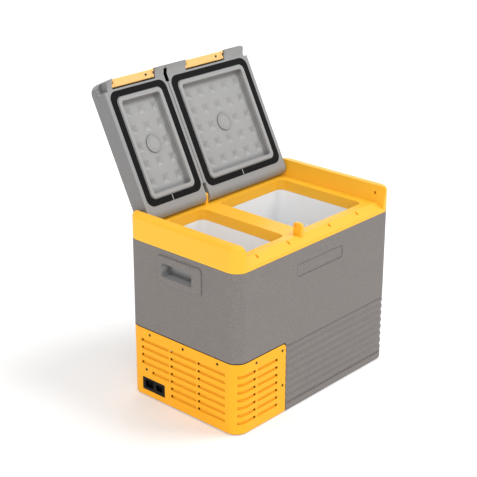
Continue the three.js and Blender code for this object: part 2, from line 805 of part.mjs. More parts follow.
function lidShell(lid) {
  const x = [lid.inner, lid.outer * 300].sort((a, b) => a - b);
  const slabOfLid = cut(alongX(lidSection(), ...x), lidEndTool(lid.outer));
  const pocket = slab(
    ringPlan({ x0: lid.tray.x0 - GAP, x1: lid.tray.x1 + GAP }, TRAY.halfY + GAP, TRAY.radius),
    LID_BOTTOM - 20,
    LID_TOP - LID_SKIN,
  );
  const notchX = [DIVIDER_X - NOTCH_HALF, DIVIDER_X + NOTCH_HALF];
  const notches = [
    box(...notchX, FRONT_NOTCH.y0, FRONT_NOTCH.y1, 440, FRONT_NOTCH.top),
    box(...notchX, REAR_NOTCH_Y, 220, 440, 520),
  ];
  const { latchX } = lid;
  const bayX = [latchX - LATCH_BAY.half, latchX + LATCH_BAY.half];
  const bay = join(
    box(...bayX, LID_FRONT_Y - 5, LATCH_BAY.back, 440, LATCH_BAY.top),
    box(...bayX, LID_FRONT_Y - 5, LATCH_BAY.lowBack, 440, LATCH_BAY.step),
  );
  const axle = rodX(
    latchX - LATCH_AXLE.half - 1,
    latchX + LATCH_AXLE.half + 1,
    LATCH_AXLE.y,
    LATCH_AXLE.z,
    LATCH_AXLE.hole,
    10,
  );
  const bores = ["outer", "inner"].flatMap((end) => [
    openBore(latchPinSpan(lid, end), end, lid.outer, LATCH_Y),
    openBore(hingePinSpan(lid, end), end, lid.outer, PIVOT_Y),
  ]);
  const groove = gasketBand(lid, GAP, LID_BOTTOM - 5, LID_BOTTOM + GASKET.groove);
  return cut(slabOfLid, pocket, ...notches, bay, axle, groove, endPocket(lid.outer), ...bores);
}

// A pin's bore, run out past the lid's end or into its notch, and a little deeper than the pin.
function openBore([x0, x1], end, outer, y) {
  const towardsPlus = (end === "outer") === outer > 0;
  return towardsPlus
    ? rodX(x0 - 2, x1 + 20, y, PIVOT_Z, PIN_HOLE)
    : rodX(x0 - 20, x1 + 2, y, PIVOT_Z, PIN_HOLE);
}

// The round pocket in a lid's outer end, open to the underside.
function endPocket(outer) {
  const { y, z, radius, floor } = END_POCKET;
  const x = [outer * floor, outer * 300].sort((a, b) => a - b);
  return join(rodX(...x, y, z, radius, 24), box(...x, y - radius, y + radius, LID_BOTTOM - 20, z));
}

function lidTray({ tray }) {
  const r = TRAY.radius;
  const rim = TRAY.rim;
  const block = slab(ringPlan(tray, TRAY.halfY, r), TRAY.bottom, TRAY.floor + TRAY.skin);
  const inner = { x0: tray.x0 + rim, x1: tray.x1 - rim };
  const recess = slab(ringPlan(inner, TRAY.halfY - rim, r - 7), TRAY.bottom - 1, TRAY.floor);
  const middle = (tray.x0 + tray.x1) / 2;
  const disc = rodZ(middle, 0, TRAY.floor - DISC.rise, TRAY.floor + 1, DISC.radius);
  return join(cut(block, recess, ...dimples(inner)), disc);
}

// Pyramids sunk in a tray's floor on a square grid, with none in the middle.
function dimples({ x0, x1 }) {
  const { pitch, half, edge } = DIMPLE;
  const middle = (x0 + x1) / 2;
  const across = Math.floor((x1 - middle - half - edge) / pitch);
  const down = Math.floor((TRAY.halfY - TRAY.rim - half - edge) / pitch);
  const made = [];
  for (let i = -across; i <= across; i += 1) {
    for (let j = -down; j <= down; j += 1) {
      if (i !== 0 || j !== 0) {
        made.push(dimple(middle + i * pitch, j * pitch));
      }
    }
  }
  return made;
}

// One pyramid, its apex up and its base a little below the tray's floor.
function dimple(x, y) {
  const { half, depth } = DIMPLE;
  const grow = 1.2;
  const geometry = new THREE.ConeGeometry(half * Math.SQRT2 * grow, depth * grow, 4);
  geometry.rotateY(Math.PI / 4).rotateX(Math.PI / 2);
  return solid(geometry.translate(x, y, TRAY.floor + depth * (1 - grow / 2)));
}

function lidFoam({ tray }) {
  const inner = { x0: tray.x0 + 0.5, x1: tray.x1 - 0.5 };
  const z0 = TRAY.floor + TRAY.skin + GAP;
  return slab(ringPlan(inner, TRAY.halfY - 0.5, TRAY.radius), z0, LID_TOP - LID_SKIN - GAP);
}

function lidGasket(lid) {
  return gasketBand(lid, 0, GASKET.bottom, LID_BOTTOM + GASKET.groove - GAP);
}

function latchBar({ latchX }) {
  const { half, y0, y1, foot, heel, top } = LATCH_BAR;
  const section = polygon([
    [y0 + 1.5, foot],
    [y1 - 1, heel - 1],
    [y1, heel + 1.5],
    [y1, top - 2],
    [y1 - 2, top],
    [y0 + 4, top],
    [y0 + 1, top - 1.5],
    [y0, top - 5],
    [y0, foot + 1.5],
  ]);
  const bar = alongX(section, latchX - half, latchX + half);
  const { y, z, hole } = LATCH_AXLE;
  return cut(bar, rodX(latchX - half - 5, latchX + half + 5, y, z, hole, 10));
}

function latchAxle({ latchX }) {
  const { y, z, radius, half } = LATCH_AXLE;
  return rodX(latchX - half, latchX + half, y, z, radius, 10);
}

function pinAt([x0, x1], y) {
  return rodX(x0, x1, y, PIVOT_Z, PIN_RADIUS, 12);
}

// ---------------------------------------------------------------- materials

function material(color, roughness, metalness = 0) {
  return new THREE.MeshStandardMaterial({ color, roughness, metalness, flatShading: true });
}

const grey = material(0x86817e, 0.75);
const darkGrey = material(0x4c4b4a, 0.7);
const yellow = material(0xf6ad2e, 0.45);
const amber = material(0xee9f25, 0.45);
const white = material(0xe4e5e6, 0.4);
const trayGrey = material(0xb4b3b3, 0.5);
const rubber = material(0x18181a, 0.85);
const blackPlastic = material(0x151517, 0.35);
const foamCream = material(0xe8dcb4, 0.95);
const steel = material(0x9a9da0, 0.35, 1);
const aluminium = material(0xb9bcc0, 0.4, 1);
const copper = material(0xb87333, 0.35, 1);
const blackPaint = material(0x1b1b1d, 0.4, 0.2);
const smokedGlass = material(0x101418, 0.1);

// ---------------------------------------------------------------- assembly

const fridge = new THREE.Group();

function add(parent, name, body, look) {
  const mesh = new THREE.Mesh(geometryOf(body), look);
  mesh.name = name;
  parent.add(mesh);
  return mesh;
}

add(fridge, "outer_shell", outerShell(), grey);
add(fridge, "base_pan", basePan(), darkGrey);
footPlaces().forEach(([x, y], i) => add(fridge, `foot_${i + 1}`, foot(x, y), rubber));
add(fridge, "rim_frame", rimFrame(), yellow);
add(fridge, "liner_small", liner(compartments.small), white);
add(fridge, "liner_large", liner(compartments.large), white);
add(fridge, "foam_filling", foamFilling(), foamCream);
add(fridge, "evaporator_small", evaporator(compartments.small), aluminium);
add(fridge, "evaporator_large", evaporator(compartments.large), aluminium);
add(fridge, "bay_bulkhead", bulkhead(), darkGrey);
add(fridge, "compressor", compressor(), blackPaint);
add(fridge, "condenser", condenser(), aluminium);
add(fridge, "fan_shroud", fanShroud(), blackPlastic);
add(fridge, "fan_rotor", fanRotor(), blackPlastic);
add(fridge, "control_module", controlModule(), aluminium);
add(fridge, "discharge_line", dischargeLine(), copper);
add(fridge, "louvre_cover", louvreCover(), amber);
coverScrews.forEach((screw, i) => add(fridge, `cover_screw_${i + 1}`, coverScrew(screw), blackPaint));
add(fridge, "inlet_panel", inletPanel(), blackPlastic);
add(fridge, "front_badge", frontBadge(), grey);
add(fridge, "handle_left", handle(-1), grey);
add(fridge, "handle_right", handle(1), grey);
add(fridge, "control_panel", controlPanel(), blackPlastic);
add(fridge, "display_window", displayWindow(), smokedGlass);
buttonNames.forEach((name, i) => add(fridge, `button_${name}`, button(i), darkGrey));

for (const [size, lid] of Object.entries(lids)) {
  const hinge = new THREE.Group();
  hinge.position.set(0, PIVOT_Y, PIVOT_Z);
  hinge.rotation.x = -OPEN_ANGLE;
  fridge.add(hinge);
  const closed = new THREE.Group();
  closed.position.set(0, -PIVOT_Y, -PIVOT_Z);
  hinge.add(closed);
  add(closed, `lid_${size}_shell`, lidShell(lid), grey);
  add(closed, `lid_${size}_tray`, lidTray(lid), trayGrey);
  add(closed, `lid_${size}_foam`, lidFoam(lid), foamCream);
  add(closed, `lid_${size}_gasket`, lidGasket(lid), rubber);
  add(closed, `lid_${size}_latch_bar`, latchBar(lid), yellow);
  add(closed, `lid_${size}_latch_axle`, latchAxle(lid), steel);
  for (const end of ["outer", "inner"]) {
    add(closed, `lid_${size}_hinge_pin_${end}`, pinAt(hingePinSpan(lid, end), PIVOT_Y), steel);
    add(closed, `lid_${size}_latch_pin_${end}`, pinAt(latchPinSpan(lid, end), LATCH_Y), steel);
  }
}

export default fridge;
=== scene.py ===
"""Looks of the two-lid compressor cooler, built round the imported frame. Sizes are millimetres in the
frame's own axes (-Y front, +Z up) and become metres in mesh_object()."""

import json
import math

import bmesh
import bpy
from mathutils import Matrix, Vector


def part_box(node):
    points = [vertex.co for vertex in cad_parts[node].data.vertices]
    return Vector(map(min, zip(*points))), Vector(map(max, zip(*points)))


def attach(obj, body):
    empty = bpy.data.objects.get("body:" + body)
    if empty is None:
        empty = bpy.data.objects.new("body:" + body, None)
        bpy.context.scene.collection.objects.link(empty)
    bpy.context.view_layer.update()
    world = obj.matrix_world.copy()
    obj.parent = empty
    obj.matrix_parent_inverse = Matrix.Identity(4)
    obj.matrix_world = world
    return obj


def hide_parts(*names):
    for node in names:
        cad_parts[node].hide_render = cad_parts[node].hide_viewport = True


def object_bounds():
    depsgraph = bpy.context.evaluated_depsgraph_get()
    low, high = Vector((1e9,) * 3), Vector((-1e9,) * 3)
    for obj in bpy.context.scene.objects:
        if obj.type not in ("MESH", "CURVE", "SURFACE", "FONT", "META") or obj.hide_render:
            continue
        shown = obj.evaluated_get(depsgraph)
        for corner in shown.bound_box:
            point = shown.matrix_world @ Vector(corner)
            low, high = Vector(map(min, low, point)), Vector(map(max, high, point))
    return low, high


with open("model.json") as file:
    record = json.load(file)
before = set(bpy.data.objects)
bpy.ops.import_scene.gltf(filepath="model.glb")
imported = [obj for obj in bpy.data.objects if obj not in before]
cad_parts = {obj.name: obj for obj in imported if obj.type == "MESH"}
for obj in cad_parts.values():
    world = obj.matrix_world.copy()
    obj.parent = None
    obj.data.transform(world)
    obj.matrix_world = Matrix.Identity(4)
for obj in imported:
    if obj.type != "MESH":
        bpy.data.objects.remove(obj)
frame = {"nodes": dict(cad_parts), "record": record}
cad_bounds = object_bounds()

MM = 0.001

# Cabinet, read from the frame
rim_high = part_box("rim_frame")[1]
HALF_L = rim_high.x / MM
HALF_W = rim_high.y / MM
CHEEK_Z = rim_high.z / MM
CORNER = 35
SHELL_WALL = 5
RIM_Z = 441
LEDGE_Z = 466
CHEEK_FOOT_X = 273
CHEEK_TOP_X = 284
CHEEK_ROUND = 12
SLOPE_Y = 167
BACK_SLOPE_Y = 175
SLOPE_DROP = 15
LEDGE_SLOTS = (-221, -103, 60, 176)
GAP = 0.3

# Compartments
END_X = 240
DIVIDER_X = -50
DIVIDER_HALF = 30
OPENING_Y = 144
OPENING_RADIUS = 18
COLLAR_Z = 436
FLOORS = {"small": 228, "large": 50}
MOUTHS = {"small": (-END_X, DIVIDER_X - DIVIDER_HALF), "large": (DIVIDER_X + DIVIDER_HALF, END_X)}

# Machine bay cover and louvres
COVER_TOP = 197
COVER_END = -126
COVER_WALL = 3
COVER_CORNER = 12
COVER_SEAM = 2.4
LOUVRE_ROWS = 7
LOUVRE_TOP_Z = 162
LOUVRE_PITCH = 21.6
LOUVRE_HEIGHT = 8
BLADE_INSET = 9
END_RUNS = [(-149, -54), (-49, 43)]
INLET_RUNS = [(48, 149)] * 4 + [(48, 112)]
SIDE_RUNS = [(-299, -241), (-235, -157)]
FLANGE_TOP = 206
FLANGE_END = -116
FLANGE_POST = 26  # width beside the cover
FLANGE_BAND = 30  # height along its top
INLET = (65, 148, 17, 54)
PINS_Z = (33, 39)
MAINS_PINS_Y = (118, 124, 130)
LOW_VOLTAGE_PINS_Y = (83, 91)
COVER_SCREWS = [
    ("left", 117, 183.5),
    ("left", -3, 183.5),
    ("left", -123, 183.5),
    ("left", 132, 78),
    ("front", -239, 184),
    ("front", -139, 180),
    ("front", -137, 80),
    ("back", -239, 184),
    ("back", -139, 180),
    ("back", -137, 80),
]

# Ribs
RIB_COUNT = 8
RIB_TOP_Z = 187
RIB_PITCH = 21
RIB_ROOT = 2.4
RIB_CREST = 0.6

# Lids, closed
PIVOT_Y = 171
PIVOT_Z = 488
OPEN_ANGLE = math.radians(117)
LID_BOTTOM = 467.3
LID_TOP = 508.5
LID_FRONT_Y = -188
LID_ROUND = 10
LID_CORNER = 28
LID_FOOT_X = 270.5
LID_TOP_X = 279
LID_LEAN = (LID_TOP_X - LID_FOOT_X) / (LID_TOP - LID_BOTTOM)
LID_SPLIT = 1
HINGE_END = 20.5
NARROW_Y = PIVOT_Y - 18
HINGE_TIP_X = 288
LATCH_Y = -157
PIN_HOLE = 4
PIN_DEPTH = 40
LATCH_AXLE = (-177, 492, 2.3)  # its y and z, and the radius of its hole
LATCH_BAR_HALF = 75
LATCH_BAY_HALF = 76.5

# Lid linings; spans run along X
LIDS = {
    "small": {
        "outer": -1,
        "latch": -164,
        "inner": DIVIDER_X - LID_SPLIT,
        "gasket": (-259, -60),
        "tray": (-238, -82),
    },
    "large": {
        "outer": 1,
        "latch": 104,
        "inner": DIVIDER_X + LID_SPLIT,
        "gasket": (-40, 259),
        "tray": (-18, 238),
    },
}
GASKET_Y = 156
GASKET_SEAMS = {"small": -171, "large": 102}
TRAY_Y = 137
TRAY_RIM = 10.5
TRAY_BOTTOM = 464.5
TRAY_FACE = 480
TRAY_TOP = 484.6
TRAY_RADIUS = 14
DIMPLE_PITCH = 48
DIMPLE_HALF = 13
DIMPLE_DEPTH = 4.3
DIMPLE_EDGE = 6
DISC_RADIUS = 24
DISC_RISE = 3

# Grips, badge and control panel, each as two spans and a corner radius
GRIP = (-41, 64, 369, 405, 6)
GRIP_DEPTH = 26
GRIP_WALL = 2.5
HANDLE = (-72, 81, 348, 425, 12)
HANDLE_PROUD = 5
HANDLE_UNDERCUT = 2.2
BADGE = (-86, 98, 366, 401, 9)
BADGE_DEPTH = 1.6
PANEL = (-69, 69, 450, 492, 5)
PANEL_DEPTH = 8
BUTTONS = ("power", "set", "down", "up")
BUTTON_PITCH = 24
BUTTON_Z = 461
BUTTON_RADIUS = 6

# Feet, floor, light and camera
FOOT_INSET = 45
FLOOR_HALF = 6000
WORLD_LIGHT = 0.72
CAMERA_AZIMUTH = 47.88
CAMERA_ELEVATION = 22.02
CAMERA_ROLL = 0.15
CAMERA_DISTANCE = 3.35
CAMERA_TARGET = Vector((-0.069, 0.0243, 0.4087))
CAMERA_LENS = 96.45

open_lid = (
    Matrix.Translation((0, PIVOT_Y * MM, PIVOT_Z * MM))
    @ Matrix.Rotation(-OPEN_ANGLE, 4, "X")
    @ Matrix.Translation((0, -PIVOT_Y * MM, -PIVOT_Z * MM))
)

# ------------------------------------------------------------------ mesh tools


def mesh_object(name, verts, faces):
    """An object from corners in millimetres, its faces turned outwards."""
    mesh = bpy.data.meshes.new(name)
    mesh.from_pydata([Vector(v) * MM for v in verts], [], faces)
    work = bmesh.new()
    work.from_mesh(mesh)
    bmesh.ops.recalc_face_normals(work, faces=work.faces)
    work.to_mesh(mesh)
    work.free()
    obj = bpy.data.objects.new(name, mesh)
    bpy.context.scene.collection.objects.link(obj)
    return obj


def arc(cx, cy, radius, start, end, steps):
    """Points on an arc, its angles in degrees."""
    angles = [math.radians(start + (end - start) * i / steps) for i in range(steps + 1)]
    return [(cx + radius * math.cos(a), cy + radius * math.sin(a)) for a in angles]


def rounded_rect(x0, x1, y0, y1, radius, steps=10):
    return (
        arc(x1 - radius, y0 + radius, radius, -90, 0, steps)
        + arc(x1 - radius, y1 - radius, radius, 0, 90, steps)
        + arc(x0 + radius, y1 - radius, radius, 90, 180, steps)
        + arc(x0 + radius, y0 + radius, radius, 180, 270, steps)
    )


def outline(inset, steps=10):
    """The cabinet's plan, drawn in by an inset all round."""
    return rounded_rect(
        -HALF_L + inset, HALF_L - inset, -HALF_W + inset, HALF_W - inset, CORNER - inset, steps
    )


def placed(point, axis, along):
    """A 2-D point in the plane across an axis, at a distance along it."""
    a, b = point
    return {"x": (along, a, b), "y": (a, along, b), "z": (a, b, along)}[axis]


def prism(points, axis, low, high, name="tool"):
    count = len(points)
    verts = [placed(p, axis, low) for p in points] + [placed(p, axis, high) for p in points]
    faces = [list(range(count)), list(range(count, 2 * count))]
    faces += [(i, (i + 1) % count, count + (i + 1) % count, count + i) for i in range(count)]
    return mesh_object(name, verts, faces)


def box(x0, x1, y0, y1, z0, z1, name="tool"):
    return prism([(x0, y0), (x1, y0), (x1, y1), (x0, y1)], "z", z0, z1, name)


def loft(rings, name="loft", closed=False):
    """Joins rings of 3-D points, capped at both ends unless closed joins the last to the first."""
    count = len(rings[0])
    verts = [p for ring in rings for p in ring]
    pairs = list(zip(range(len(rings)), range(1, len(rings))))
    if closed:
        pairs.append((len(rings) - 1, 0))
    faces = []
    for a, b in pairs:
        for i in range(count):
            j = (i + 1) % count
            faces.append((a * count + i, a * count + j, b * count + j, b * count + i))
    if not closed:
        faces.append(list(range(count)))
        faces.append([(len(rings) - 1) * count + i for i in range(count)])
    return mesh_object(name, verts, faces)


def stack(profile, plan, name="stack", closed=False):
    """A loft of level rings: profile is (z, inset) and plan(inset) gives the outline."""
    return loft([[(x, y, z) for x, y in plan(inset)] for z, inset in profile], name, closed)


def turned(profile, centre, axis, sides=24, name="turned"):
    """A lathe form: profile is (radius, distance along the axis)."""
    cx, cy, cz = centre
    rings = []
    for i in range(sides):
        a = 2 * math.pi * i / sides
        ring = []
        for radius, along in profile:
            u, v = radius * math.cos(a), radius * math.sin(a)
            point = {"x": (along, u, v), "y": (u, along, v), "z": (u, v, along)}[axis]
            ring.append((cx + point[0], cy + point[1], cz + point[2]))
        rings.append(ring)
    count = len(profile)
    verts = [p for ring in rings for p in ring]
    faces = []
    for i in range(sides):
        j = (i + 1) % sides
        for k in range(count - 1):
            faces.append((i * count + k, j * count + k, j * count + k + 1, i * count + k + 1))
    obj = mesh_object(name, verts, faces)
    work = bmesh.new()
    work.from_mesh(obj.data)
    bmesh.ops.remove_doubles(work, verts=work.verts, dist=1e-6)
    bmesh.ops.dissolve_degenerate(work, dist=1e-6, edges=work.edges)
    bmesh.ops.recalc_face_normals(work, faces=work.faces)
    work.to_mesh(obj.data)
    work.free()
    return obj


def rod(x0, x1, y, z, radius, sides=24, name="tool"):
    return turned([(0, x0), (radius, x0), (radius, x1), (0, x1)], (0, y, z), "x", sides, name)


def bake(obj):
    """Puts the modifiers' result into the object's own mesh."""
    bpy.context.view_layer.update()
    graph = bpy.context.evaluated_depsgraph_get()
    mesh = bpy.data.meshes.new_from_object(obj.evaluated_get(graph))
    obj.modifiers.clear()
    obj.data = mesh
    return obj


def combine(obj, operation, *tools):
    for tool in tools:
        step = obj.modifiers.new("combine", "BOOLEAN")
        step.operation = operation
        step.object = tool
        step.solver = "MANIFOLD"
    bake(obj)
    for tool in tools:
        bpy.data.objects.remove(tool)
    return obj


def cut(obj, *tools):
    return combine(obj, "DIFFERENCE", *tools)


def join(obj, *tools):
    return combine(obj, "UNION", *tools)


def common(obj, tool):
    return combine(obj, "INTERSECT", tool)


def soften(obj, width, segments=3, angle=32, merge=True):
    """Rounds the edges and shades the result smoothly; merge first makes flat areas one face."""
    work = bmesh.new()
    work.from_mesh(obj.data)
    bmesh.ops.remove_doubles(work, verts=work.verts, dist=2e-5)
    if merge:
        bmesh.ops.dissolve_limit(
            work,
            angle_limit=math.radians(0.8),
            verts=work.verts,
            edges=work.edges,
            use_dissolve_boundaries=False,
        )
    work.to_mesh(obj.data)
    work.free()
    if width:
        bevel = obj.modifiers.new("bevel", "BEVEL")
        bevel.width = width * MM
        bevel.segments = segments
        bevel.limit_method = "ANGLE"
        bevel.angle_limit = math.radians(angle)
        bevel.miter_outer = "MITER_ARC"
        bake(obj)
    return smooth(obj)


def smooth(obj, angle=38):
    """Shades smoothly but for the sharp edges; normals kept from before a cut are dropped first."""
    kept = obj.data.attributes.get("custom_normal")
    if kept:
        obj.data.attributes.remove(kept)
    obj.data.shade_smooth()
    obj.data.set_sharp_from_angle(angle=math.radians(angle))
    weights = obj.modifiers.new("normals", "WEIGHTED_NORMAL")
    weights.keep_sharp = True
    weights.weight = 100
    return bake(obj)


# ------------------------------------------------------------------ materials


def node(tree, kind, **values):
    made = tree.nodes.new(kind)
    for key, value in values.items():
        if hasattr(made, key):
            setattr(made, key, value)
        else:
            made.inputs[key.replace("_", " ")].default_value = value
    return made


def noise(tree, place, size, detail=2.0, roughness=0.55):
    """A noise whose features measure about `size` millimetres."""
    made = node(tree, "ShaderNodeTexNoise", Scale=1 / (size * MM), Detail=detail, Roughness=roughness)
    tree.links.new(place.outputs["Object"], made.inputs["Vector"])
    return made


def ranged(tree, value, low, high):
    made = node(tree, "ShaderNodeMapRange")
    made.inputs["From Min"].default_value = 0.3
    made.inputs["From Max"].default_value = 0.7
    made.inputs["To Min"].default_value = low
    made.inputs["To Max"].default_value = high
    tree.links.new(value, made.inputs["Value"])
    return made.outputs["Result"]


def painted_cavity_shade(tree, colour, strength):
    """Paints shade into a colour: darkens it where ambient occlusion finds the surface closed in by
    itself.
    """
    open_sky = node(tree, "ShaderNodeAmbientOcclusion", samples=8, only_local=True, Distance=16 * MM)
    dark = ranged(tree, open_sky.outputs["AO"], 1 - strength, 1)
    dark.node.inputs["From Min"].default_value = 0.6
    dark.node.inputs["From Max"].default_value = 1.0
    mixed = node(tree, "ShaderNodeVectorMath", operation="SCALE")
    tree.links.new(colour, mixed.inputs[0])
    tree.links.new(dark, mixed.inputs["Scale"])
    return mixed.outputs[0]


def shade(color, factor):
    return (*[min(1, c * factor) for c in color], 1)


def moulded(name, color, rough, grain=1.6, bump=0.12, vary=0.05, blotch=40, cavity_shade=0.0, **facts):
    """Moulded or painted surface with grain, faint blotches, uneven gloss and painted shade darkening its
    cavities when asked.
    """
    made = bpy.data.materials.new(name)
    made.use_nodes = True
    tree = made.node_tree
    shader = tree.nodes["Principled BSDF"]
    for key, value in facts.items():
        shader.inputs[key.replace("_", " ")].default_value = value
    place = node(tree, "ShaderNodeTexCoord")
    fine = noise(tree, place, grain, 3.0)
    broad = noise(tree, place, blotch, 4.0)
    mixed = node(tree, "ShaderNodeMix", data_type="FLOAT")
    mixed.inputs["Factor"].default_value = 0.15
    tree.links.new(fine.outputs["Fac"], mixed.inputs["A"])
    tree.links.new(broad.outputs["Fac"], mixed.inputs["B"])
    ramp = node(tree, "ShaderNodeValToRGB")
    ramp.color_ramp.elements[0].position = 0.35
    ramp.color_ramp.elements[0].color = shade(color, 1 - vary)
    ramp.color_ramp.elements[1].position = 0.65
    ramp.color_ramp.elements[1].color = shade(color, 1 + vary)
    tree.links.new(mixed.outputs["Result"], ramp.inputs["Fac"])
    # painted shade: the base colour darkens in creases, ribs and recesses
    colour = painted_cavity_shade(tree, ramp.outputs["Color"], cavity_shade) if cavity_shade else ramp.outputs["Color"]
    tree.links.new(colour, shader.inputs["Base Color"])
    gloss = ranged(tree, broad.outputs["Fac"], rough - 0.05, rough + 0.05)
    tree.links.new(gloss, shader.inputs["Roughness"])
    relief = node(tree, "ShaderNodeBump", Strength=bump, Distance=0.3 * MM)
    tree.links.new(fine.outputs["Fac"], relief.inputs["Height"])
    tree.links.new(relief.outputs["Normal"], shader.inputs["Normal"])
    return made


def linear(r, g, b):
    """sRGB 0-255 to linear."""
    parts = [c / 255 for c in (r, g, b)]
    return tuple(c / 12.92 if c <= 0.04045 else ((c + 0.055) / 1.055) ** 2.4 for c in parts)


# The grey, lid and tray colours carry painted shade in their ribs, grooves and recesses.
looks = {
    "grey": moulded(
        "grey_textured", linear(122, 116, 113), 0.72, grain=3.2, bump=0.8, vary=0.16, cavity_shade=0.45
    ),
    "lid": moulded("lid_grey", linear(148, 148, 148), 0.6, grain=1.6, bump=0.3, vary=0.05, cavity_shade=0.4),
    "lid_outer": moulded("lid_outer_grey", linear(128, 127, 127), 0.7, grain=2.8, bump=0.7, vary=0.12),
    "dark": moulded("dark_plastic", linear(70, 69, 68), 0.6),
    "yellow": moulded(
        "rim_yellow", linear(252, 188, 46), 0.45, grain=1.2, bump=0.1, vary=0.02, Specular_IOR_Level=0.35
    ),
    "amber": moulded(
        "cover_amber", linear(254, 176, 28), 0.5, grain=1.2, bump=0.12, vary=0.03, Specular_IOR_Level=0.25
    ),
    "white": moulded("liner_white", linear(246, 249, 252), 0.35, grain=1.0, bump=0.05, vary=0.012),
    "tray": moulded(
        "tray_grey", linear(158, 158, 158), 0.45, grain=1.0, bump=0.08, vary=0.03, cavity_shade=0.5
    ),
    "latch": moulded("latch_yellow", linear(252, 204, 124), 0.4, grain=1.2, bump=0.1, vary=0.02),
    "seam": moulded("seam_grey", linear(196, 194, 193), 0.6, grain=0.6, bump=0.1, vary=0.04),
    "rubber": moulded(
        "black_rubber", linear(9, 9, 11), 0.75, grain=0.8, bump=0.2, vary=0.15, Specular_IOR_Level=0.2
    ),
    "black": moulded(
        "black_plastic", linear(6, 6, 8), 0.5, grain=0.9, bump=0.1, vary=0.1, Specular_IOR_Level=0.2
    ),
    "foam": moulded("foam", linear(226, 214, 176), 0.95, grain=1.5, bump=0.6, vary=0.06),
    "steel": moulded("steel", linear(170, 172, 175), 0.32, grain=0.5, bump=0.05, vary=0.05, Metallic=1.0),
    "aluminium": moulded("aluminium", linear(196, 198, 201), 0.38, grain=0.6, bump=0.05, Metallic=1.0),
    "copper": moulded("copper", linear(190, 120, 70), 0.3, grain=0.6, bump=0.04, Metallic=1.0),
    "blackpaint": moulded("black_paint", linear(22, 22, 24), 0.4, grain=0.8, bump=0.1, Metallic=0.3),
    "glass": moulded("smoked_window", linear(12, 16, 20), 0.08, grain=4, bump=0.0, Coat_Weight=0.6),
}

for entry in frame["record"]["subparts"]:
    materials = frame["nodes"][entry["node"]].data.materials
    materials.clear()
    materials.append(looks[entry["material_slot"]])


def dress(obj, name, body, nodes, slot, look=None):
    """Names a finished piece, gives it its material and puts it on its body in place of its CAD nodes."""
    obj.name = name
    obj.data.name = name
    obj.data.materials.clear()
    obj.data.materials.append(looks[look or slot])
    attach(obj, body)
    if nodes:
        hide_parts(*nodes)
    return obj


def second_look(obj, look, faces):
    """Gives some of a dressed piece's faces another material."""
    obj.data.materials.append(looks[look])
    for index in faces:
        obj.data.polygons[index].material_index = len(obj.data.materials) - 1


def faces_where(obj, test):
    """The faces whose corners, in millimetres, all pass a test."""
    passed = [test(v.co / MM) for v in obj.data.vertices]
    return [f.index for f in obj.data.polygons if all(passed[v] for v in f.vertices)]


# ------------------------------------------------------------------ cabinet


def past_cover(v):
    """How far a point lies beyond the centre line of the cover's rounded edge, seen from the front."""
    right = v.x - (COVER_END - COVER_CORNER)
    up = v.z - (COVER_TOP - COVER_CORNER)
    return math.hypot(max(right, 0), max(up, 0)) + min(max(right, up), 0)


def depth_in(v):
    """How far a point stands in from the cabinet's plan outline."""
    across = abs(v.x) - (HALF_L - CORNER)
    along = abs(v.y) - (HALF_W - CORNER)
    reach = math.hypot(max(across, 0), max(along, 0)) + min(max(across, along), 0)
    return CORNER - reach


def bay_window(clear):
    right = COVER_END + clear
    top = COVER_TOP + clear
    points = [(-HALF_L - 20, -20), (right, -20)]
    points += arc(right - COVER_CORNER, top - COVER_CORNER, COVER_CORNER, 0, 90, 8)
    points.append((-HALF_L - 20, top))
    return prism(points, "y", -HALF_W - 20, HALF_W + 20)


def grip_box(side, grow):
    y0, y1, z0, z1, radius = GRIP
    points = rounded_rect(y0 - grow, y1 + grow, z0 - grow, z1 + grow, radius + grow, 6)
    ends = sorted((side * (HALF_L - GRIP_DEPTH - grow), side * (HALF_L + HANDLE_PROUD + 5)))
    return prism(points, "x", *ends)


def rib_profile():
    """The shell's side from the bottom band up over the ribs, as (z, inset)."""
    low = RIB_TOP_Z - RIB_PITCH * RIB_COUNT
    rows = [(0, 1.2), (1.2, 0), (low - 1.5, 0), (low, RIB_ROOT)]
    steps = 8
    for i in range(RIB_COUNT * steps):
        swell = 0.5 - 0.5 * math.cos(2 * math.pi * (i + 1) / steps)
        z = low + RIB_PITCH * (i + 1) / steps
        rows.append((z, RIB_ROOT - (RIB_ROOT + RIB_CREST) * swell**0.85))
    rows += [(RIB_TOP_Z + 1.5, 0), (RIM_Z - GAP, 0)]
    return rows


def outer_shell():
    rows = rib_profile() + [(RIM_Z - GAP, SHELL_WALL), (0, SHELL_WALL)]
    shell = stack(rows, outline, closed=True)
    x0, x1, z0, z1, radius = BADGE
    badge = prism(rounded_rect(x0, x1, z0, z1, radius), "y", -HALF_W - 5, -HALF_W + BADGE_DEPTH)
    cut(shell, bay_window(COVER_SEAM), badge, grip_box(-1, GRIP_WALL + GAP), grip_box(1, GRIP_WALL + GAP))
    inset = COVER_WALL + GAP
    top = FLANGE_TOP
    flange = stack([(0, inset), (top, inset), (top, inset + 3), (0, inset + 3)], outline, closed=True)
    wide = HALF_W + 5
    band = box(-HALF_L - 5, FLANGE_END, -wide, wide, top - FLANGE_BAND, top)
    post = box(FLANGE_END - FLANGE_POST, FLANGE_END, -wide, wide, 0, top)
    common(flange, join(band, post))
    join(shell, flange)
    soften(shell, 0.7, 2, 50)
    dress(shell, "shell_skin", "cabinet", ["outer_shell"], "grey")
    # The flange behind the cover and the faces along the cover's edge are painted black as painted shade
    # in the gap round the cover.
    edge = COVER_CORNER + COVER_SEAM
    seam = faces_where(shell, lambda v: depth_in(v) > COVER_WALL - 0.1)
    seam += faces_where(shell, lambda v: abs(past_cover(v) - edge) < 0.05)
    second_look(shell, "black", seam)
    return shell


